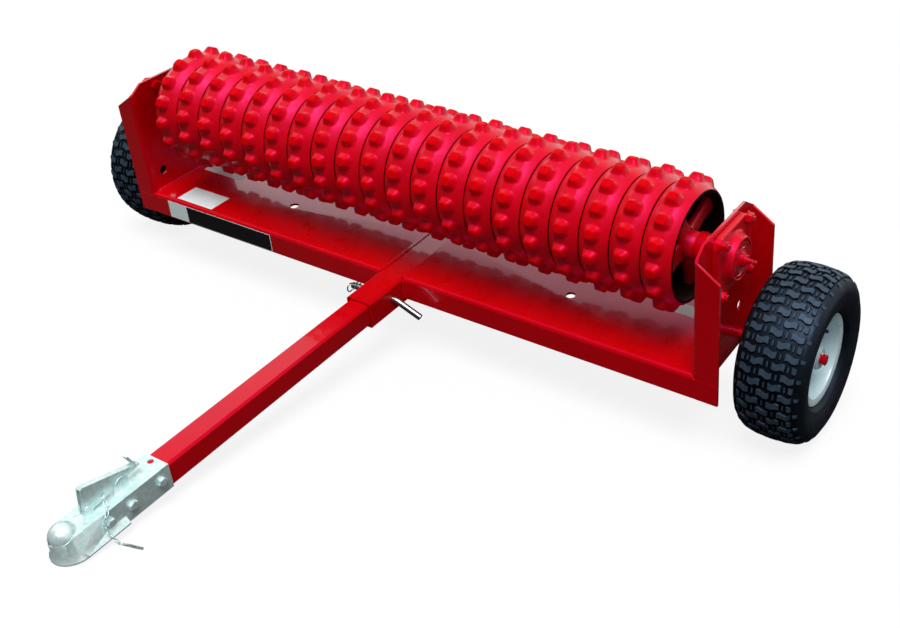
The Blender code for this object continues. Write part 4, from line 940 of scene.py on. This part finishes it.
def make_axle(side, word):
    """The stub axle with its collar, painted end and cotter pin."""
    profile = run(0.7 - PLATE_THICKNESS, (0, 0.4), (0, 11.9), (0.8, 12.7))
    profile += run(WHEEL_X - HUB_BACK - 2 * GAP, (-10, 12.7), (-10, 18.3), (-9.3, 19), (-0.7, 19),
                   (0, 18.3), (0, 12.7))
    profile += run(AXLE_END, (-1.6, 12.7), (0, 11.1), (0, 0.4))
    bar = turned(mirrored(profile, side), 40, (0.0, *AXLE))
    dress(f"stub_axle_{word}", "_bar", bar, paint)
    pin_x = side * (WHEEL_X + HUB_FRONT + 0.003 + 3 * GAP + 0.0022)
    y, z = AXLE
    leg = ((0.0008, 0.014), (0.0035, 0.0172), (0.008, 0.0185))
    legs = [[(pin_x, y + way * across, z - down) for across, down in leg] for way in (1, -1)]
    eye = [(pin_x, y + 0.004 * math.sin(a), z + 0.0165 + 0.0034 * math.cos(a))
           for a in np.linspace(0.6, 5.7, 9)]
    parts = [tube([(pin_x, y, z + 0.015), (pin_x, y, z - 0.015)], 0.0021, 12)]
    parts += [tube(smooth_path(leg, 4), 0.0011, 8) for leg in legs]
    cotter = merged(parts + [tube(smooth_path(eye, 3), 0.0012, 8)])
    add_piece(f"axle_cotter_{word}", cotter, zinc, "frame")


both_sides(make_axle)

# %% [markdown]
# ## Coupler and latch
#
# The coupler is pressed from one sheet: a channel over the drawbar's end, a domed nose over the ball and
# a flared foot. Its solid's walls stand straight, so the copy's nose is drawn in, and a thin turned skin
# lies over the dome. The latch lever and the clamp under it are cut and folded sheet, as in their solids.

# %% The drawn nose
NOSE_Y, NECK_Y = -0.9535, -0.8935
SOCKET_Y, SOCKET_Z = -0.961, -0.0145
FOOT_Z = -0.045
NOSE_RADIUS, DRAWN_RADIUS, FOOT_RADIUS = 0.0355, 0.0288, 0.033
NOSE_HEIGHT, FRONT_DROP = 0.035, 0.0105
WALL_INSIDE = 0.028
DOME_RADIUS, DOME_BAND = 0.0257, 0.0016
DOME_SKIN_RADII = (0.0272, 0.0262)


def draw_nose(points):
    """The press draws the walls in towards the dome: past the neck, each point of the top edge moves to a
    smaller circle about the socket, and in front of it the edge drops so that the dome runs down into the
    wall. The nose's foot draws in a little, and points on the dome keep their place."""
    x, y, z = points.T.copy()
    share = ramp(y, NOSE_Y, NECK_Y)
    height = np.clip((z - FOOT_Z) / NOSE_HEIGHT, 0.0, 1.0)
    outside = np.where(y < NOSE_Y, np.hypot(x, y - NOSE_Y), np.abs(x)) > WALL_INSIDE
    from_socket = np.sqrt(x**2 + (y - SOCKET_Y) ** 2 + (z - SOCKET_Z) ** 2)
    on_dome = np.abs(from_socket - DOME_RADIUS) < DOME_BAND
    weight = share * height * outside * ~on_dome
    scale = 1.0 - (1.0 - DRAWN_RADIUS / NOSE_RADIUS) * weight
    foot = (np.abs(z - FOOT_Z) < 0.0005) & (y < NOSE_Y) & outside
    scale = np.where(foot, FOOT_RADIUS / NOSE_RADIUS, scale)
    front = np.minimum(y - NOSE_Y, 0.0)
    drop = FRONT_DROP * height * outside * ~on_dome * np.clip((SOCKET_Y + 0.01 - y) / 0.024, 0.0, 1.0)
    return np.stack([x * scale, y + (SOCKET_Y - NOSE_Y) * weight + front * (scale - 1.0), z - drop], 1)


# %% Pressed and folded pieces
soften("coupler_body", zinc, 0.0009, 2, 23.0, draw_nose)
bow = np.radians(np.linspace(0.6, 100.0, 26))
shell = [(SOCKET_Z + r * math.cos(b), r * math.sin(b))
         for r, way in zip(DOME_SKIN_RADII, (1, -1)) for b in bow[::way]]
points, faces = turned(shell, 64)
points = np.roll(points, -1, 1) + (0.0, SOCKET_Y, 0.0)
add_piece("coupler_dome_skin", (points, faces), zinc, "frame")
for node, width in (("latch_lever", 0.0005), ("ball_clamp", 0.0004), ("lever_pivot_pin", 0.0003)):
    soften(node, zinc, width)

COUPLER_BOLT_Y = (-0.758, -0.83, -0.884)
for index, y in enumerate(COUPLER_BOLT_Y):
    centre = (0.0, y, -0.033)
    face = 0.0325 + GAP
    parts = [rod(0.0063, -face, face, centre)]
    for side in SIDES:
        parts.append(hex_solid(0.0105, side * face, side * (face + 0.0068), centre, 22.0 * index + 8))
    parts.append(rod(0.0061, -face, -(face + 0.0118), centre, 20, 0.0012))
    dress(f"coupler_bolt_{index + 1}", "_set", merged(parts), zinc)

# %% [markdown]
# ## Hitch pin, chain and clips
#
# A bent pin holds the drawbar in its receiver, with a hairpin clip through its end. A short chain keeps
# the latch's safety clip from being lost. A chain is one oval link repeated along a line, each turned a
# quarter from the last, so a link is a closed tube and the chain a loop over places.

# %% Hitch pin
PIN_AT = (0.0, -0.042, -0.0385)
PIN_RADIUS, PIN_END_RADIUS = 0.00795, 0.0064
PIN_BEND = 0.009
corner = 0.0715 / 2 + 0.0095
way = np.array((0.866, 0.112, -0.487))
way /= np.linalg.norm(way)
bent = np.array((corner, 0.0, 0.0))
before = np.array((-PIN_BEND, 0.0, 0.0))
path = [(x, 0.0, 0.0) for x in (-0.0915, -0.09, -0.05, 0.0, corner - PIN_BEND)]
path += [tuple(bent + (before * (1 - t) ** 2 + way * PIN_BEND * t**2)) for t in (0.25, 0.5, 0.75, 1.0)]
path = np.array(path + [tuple(bent + way * reach) for reach in (0.071, 0.0725)]) + PIN_AT
radii = np.full(len(path), PIN_RADIUS)
radii[[0, -1]] = PIN_END_RADIUS
dress("hitch_pin", "_bar", tube(path, radii, 28), steel)

WIRE_RADIUS = 0.0016
clip_gap = PIN_RADIUS + WIRE_RADIUS + 0.0004
loop = arc((-0.0215, 0.0105), 0.0105, -60, -300, 14)
clip = [(0.016, 0.0), (0.0, 0.0), (-0.012, 0.0)] + [tuple(p) for p in loop]
clip += [(-0.009, clip_gap + 0.004), (-0.004, clip_gap), (0.004, clip_gap), (0.01, clip_gap - 0.0015)]
clip = [(PIN_AT[0] - 0.078, PIN_AT[1] + y, PIN_AT[2] + z) for y, z in clip]
clip = tube(smooth_path(clip, 4), WIRE_RADIUS, 12)
add_piece("hitch_pin_hairpin", clip, steel, "pin", ["hitch_pin_clip"])

# %% Chain and clip
def floor_z(y):
    """The machine's z of the floor under a point at y."""
    return (-LIFT - y * TILT_SIN) / TILT_COS


floor = floor_z(-0.89) + 0.0042
route = smooth_path([
    (0.0093, -0.869, 0.014), (0.018, -0.874, 0.0045), (0.03, -0.881, -0.0026), (0.0352, -0.885, -0.0034),
    (0.0374, -0.89, -0.009), (0.0378, -0.8985, -0.02), (0.039, -0.8995, -0.04), (0.0474, -0.896, -0.0548),
    (0.0479, -0.894, -0.062), (0.052, -0.892, floor + 0.001), (0.06, -0.889, floor)], 12)


def chain_links(route, wire, link_length, link_width):
    """Oval links set end to end along a route, each a quarter turn on from the last."""
    reach = np.concatenate([[0.0], np.cumsum(np.linalg.norm(np.diff(route, axis=0), axis=1))])
    pitch = link_length - 2.2 * wire
    count = int((reach[-1] - link_length) / pitch) + 1
    t = np.linspace(0.0, 2.0 * math.pi, 17)[:-1, None]
    half, straight = link_width / 2 - wire, (link_length - link_width) / 2
    u = half * np.cos(t) + straight * np.sign(np.cos(t)) * (np.abs(np.cos(t)) > 1e-6)
    parts = []
    for index in range(count + 1):
        ends = [index * pitch, index * pitch + link_length]
        a, b = (np.array([np.interp(end, reach, route[:, k]) for k in range(3)]) for end in ends)
        ahead = (b - a) / np.linalg.norm(b - a)
        side = np.cross(ahead, (0.0, 0.0, 1.0) if abs(ahead[2]) < 0.85 else (1.0, 0.0, 0.0))
        side /= np.linalg.norm(side)
        across = side if index % 2 else np.cross(side, ahead)
        parts.append(tube((a + b) / 2 + u * ahead + half * np.sin(t) * across, wire, 8, True))
    return merged(parts)


dress("safety_chain", "_links", chain_links(route, 0.001, 0.0135, 0.008), zinc, 60.0)
flat = [(0.0604, -0.889), (0.072, -0.885), (0.086, -0.881), (0.101, -0.877)]
spine = np.array([(x, y, floor_z(y) + 0.0028) for x, y in flat])
apart = np.array([0.33, -0.94, 0.0]) * 0.0016
shares = np.array([(0.4, 1.0, 1.2, 0.8), (-0.4, -1.0, -0.9, -0.7)])[:, :, None]
clip = merged([tube(smooth_path(spine + apart * share, 5), 0.0014, 10) for share in shares])
dress("safety_clip", "_wire", clip, steel)

# %% [markdown]
# ## Bare decals
#
# Places for labels are left blank: pale vinyl patches on the tray, and on the front flange a dark band
# with a pale field at its left. Each is a thin plate that lies on the paint.

# %% Decals
LABELS = {"front": (-0.744, 0.01, -0.617, 0.076), "rear_left": (-0.8, 0.16, -0.664, 0.2),
          "rear_right": (0.64, 0.186, 0.77, 0.226)}
for place, corners in LABELS.items():
    flush("blank_label_" + place, [plate(oblong(*corners), "Z", 0.0001, 0.0004)], cream_vinyl)
BANDS = {"edge": (-0.773, -0.06, -0.4, FLANGE_TOP, 0.0007, cream_vinyl),
         "field": (-0.703, -0.059, -0.402, -0.0108, 0.0009, black_vinyl)}
for place, (*corners, proud, look) in BANDS.items():
    flush("blank_band_" + place, [plate(oblong(*corners), "Y", -proud, 0.001)], look)

# %% [markdown]
# ## Studio
#
# A pale floor, a soft sky and one broad lamp from above and in front give the plain light of a catalogue
# picture. The camera sees white all round. Mirrored rays see white above and behind the machine and dark
# in front and below, so the paint shines along the sheet and stays deep on the faces towards the eye.

# %% Floor
# A flat square just under the tyres, glowing white to the camera and dull to every other ray
WHITE = (1.0, 1.0, 1.0, 1.0)
FLOOR_HALF = 14.0
mesh = bpy.data.meshes.new("studio_floor")
corners = oblong(-FLOOR_HALF, -FLOOR_HALF, FLOOR_HALF, FLOOR_HALF)
mesh.from_pydata([(x, y, 0.0) for x, y in corners], [], [(0, 1, 2, 3)])
ground = link("studio_floor", mesh)
ground.location.z = -0.0005
look = bpy.data.materials.new("pale_studio_floor")
tree = empty_tree(look)
ray = add_node(tree, "LightPath").outputs
shade = blend(tree, ray["Is Camera Ray"], colour("5C5C5C"), colour("F2F2F2"))
shade = blend(tree, ray["Is Glossy Ray"], shade, colour("2C2C2C"))
diffuse = add_node(tree, "BsdfDiffuse", {"Color": shade}).outputs["BSDF"]
glow = add_node(tree, "Emission", {"Color": WHITE, "Strength": 1.0}).outputs["Emission"]
share = compute(tree, "MULTIPLY", ray["Is Camera Ray"], 0.86)
mix = add_node(tree, "MixShader", {0: share, 1: diffuse, 2: glow})
add_node(tree, "OutputMaterial", {"Surface": mix.outputs["Shader"]})
mesh.materials.append(look)

# %% Sky and lamp
world = bpy.data.worlds.new("studio_sky")
bpy.context.scene.world = world
sky = empty_tree(world)
ray = add_node(sky, "LightPath").outputs
way = add_node(sky, "SeparateXYZ", {0: add_node(sky, "TexCoord").outputs["Generated"]}).outputs
behind = compute(sky, "MULTIPLY_ADD", way["Z"], 0.8, way["Y"])
behind = value_between(sky, behind, -0.35, 0.3, 0.06, 1.0)
full = compute(sky, "MAXIMUM", behind, ray["Is Camera Ray"])
seen = compute(sky, "MAXIMUM", ray["Is Camera Ray"], ray["Is Glossy Ray"])
strength = value_between(sky, seen, 0.0, 1.0, 0.32, full)
shade = add_node(sky, "Background", {"Color": WHITE, "Strength": strength}).outputs["Background"]
add_node(sky, "OutputWorld", {"Surface": shade})

lamp = bpy.data.lights.new("soft_overhead_lamp", "SUN")
lamp.energy = 3.1
lamp.angle = math.radians(35)
link(lamp.name, lamp).rotation_euler = (math.radians(22), math.radians(11), 0.0)

# %% Camera
# Its place and axes, in the machine's frame, come from matching known corners to the picture
PICTURE = (900.0, 628.0)
OPTICAL_CENTRE = (620.0, 200.0)
FOCAL_PIXELS = 1236.576
SENSOR = 36.0
place = on_floor((1.76262483, -1.85709003, 1.67962907))
origin = on_floor((0.0, 0.0, 0.0))
right = on_floor((0.86505293, 0.50119204, -0.02213511)) - origin
ahead = on_floor((-0.44040178, 0.73751839, -0.51196962)) - origin
lens = bpy.data.cameras.new("camera")
lens.sensor_fit = "HORIZONTAL"
lens.sensor_width = SENSOR
lens.lens = FOCAL_PIXELS * SENSOR / PICTURE[0]
lens.shift_x = (PICTURE[0] / 2 - OPTICAL_CENTRE[0]) / PICTURE[0]
lens.shift_y = (OPTICAL_CENTRE[1] - PICTURE[1] / 2) / PICTURE[0]
lens.clip_end = 60.0
camera = link("camera", lens)
axes = np.eye(4)
axes[:3] = np.stack([right, np.cross(right, ahead), -ahead, place], 1)
camera.matrix_world = mathutils.Matrix(axes.tolist())
bpy.context.scene.camera = camera
bpy.context.scene.view_settings.view_transform = "Standard"
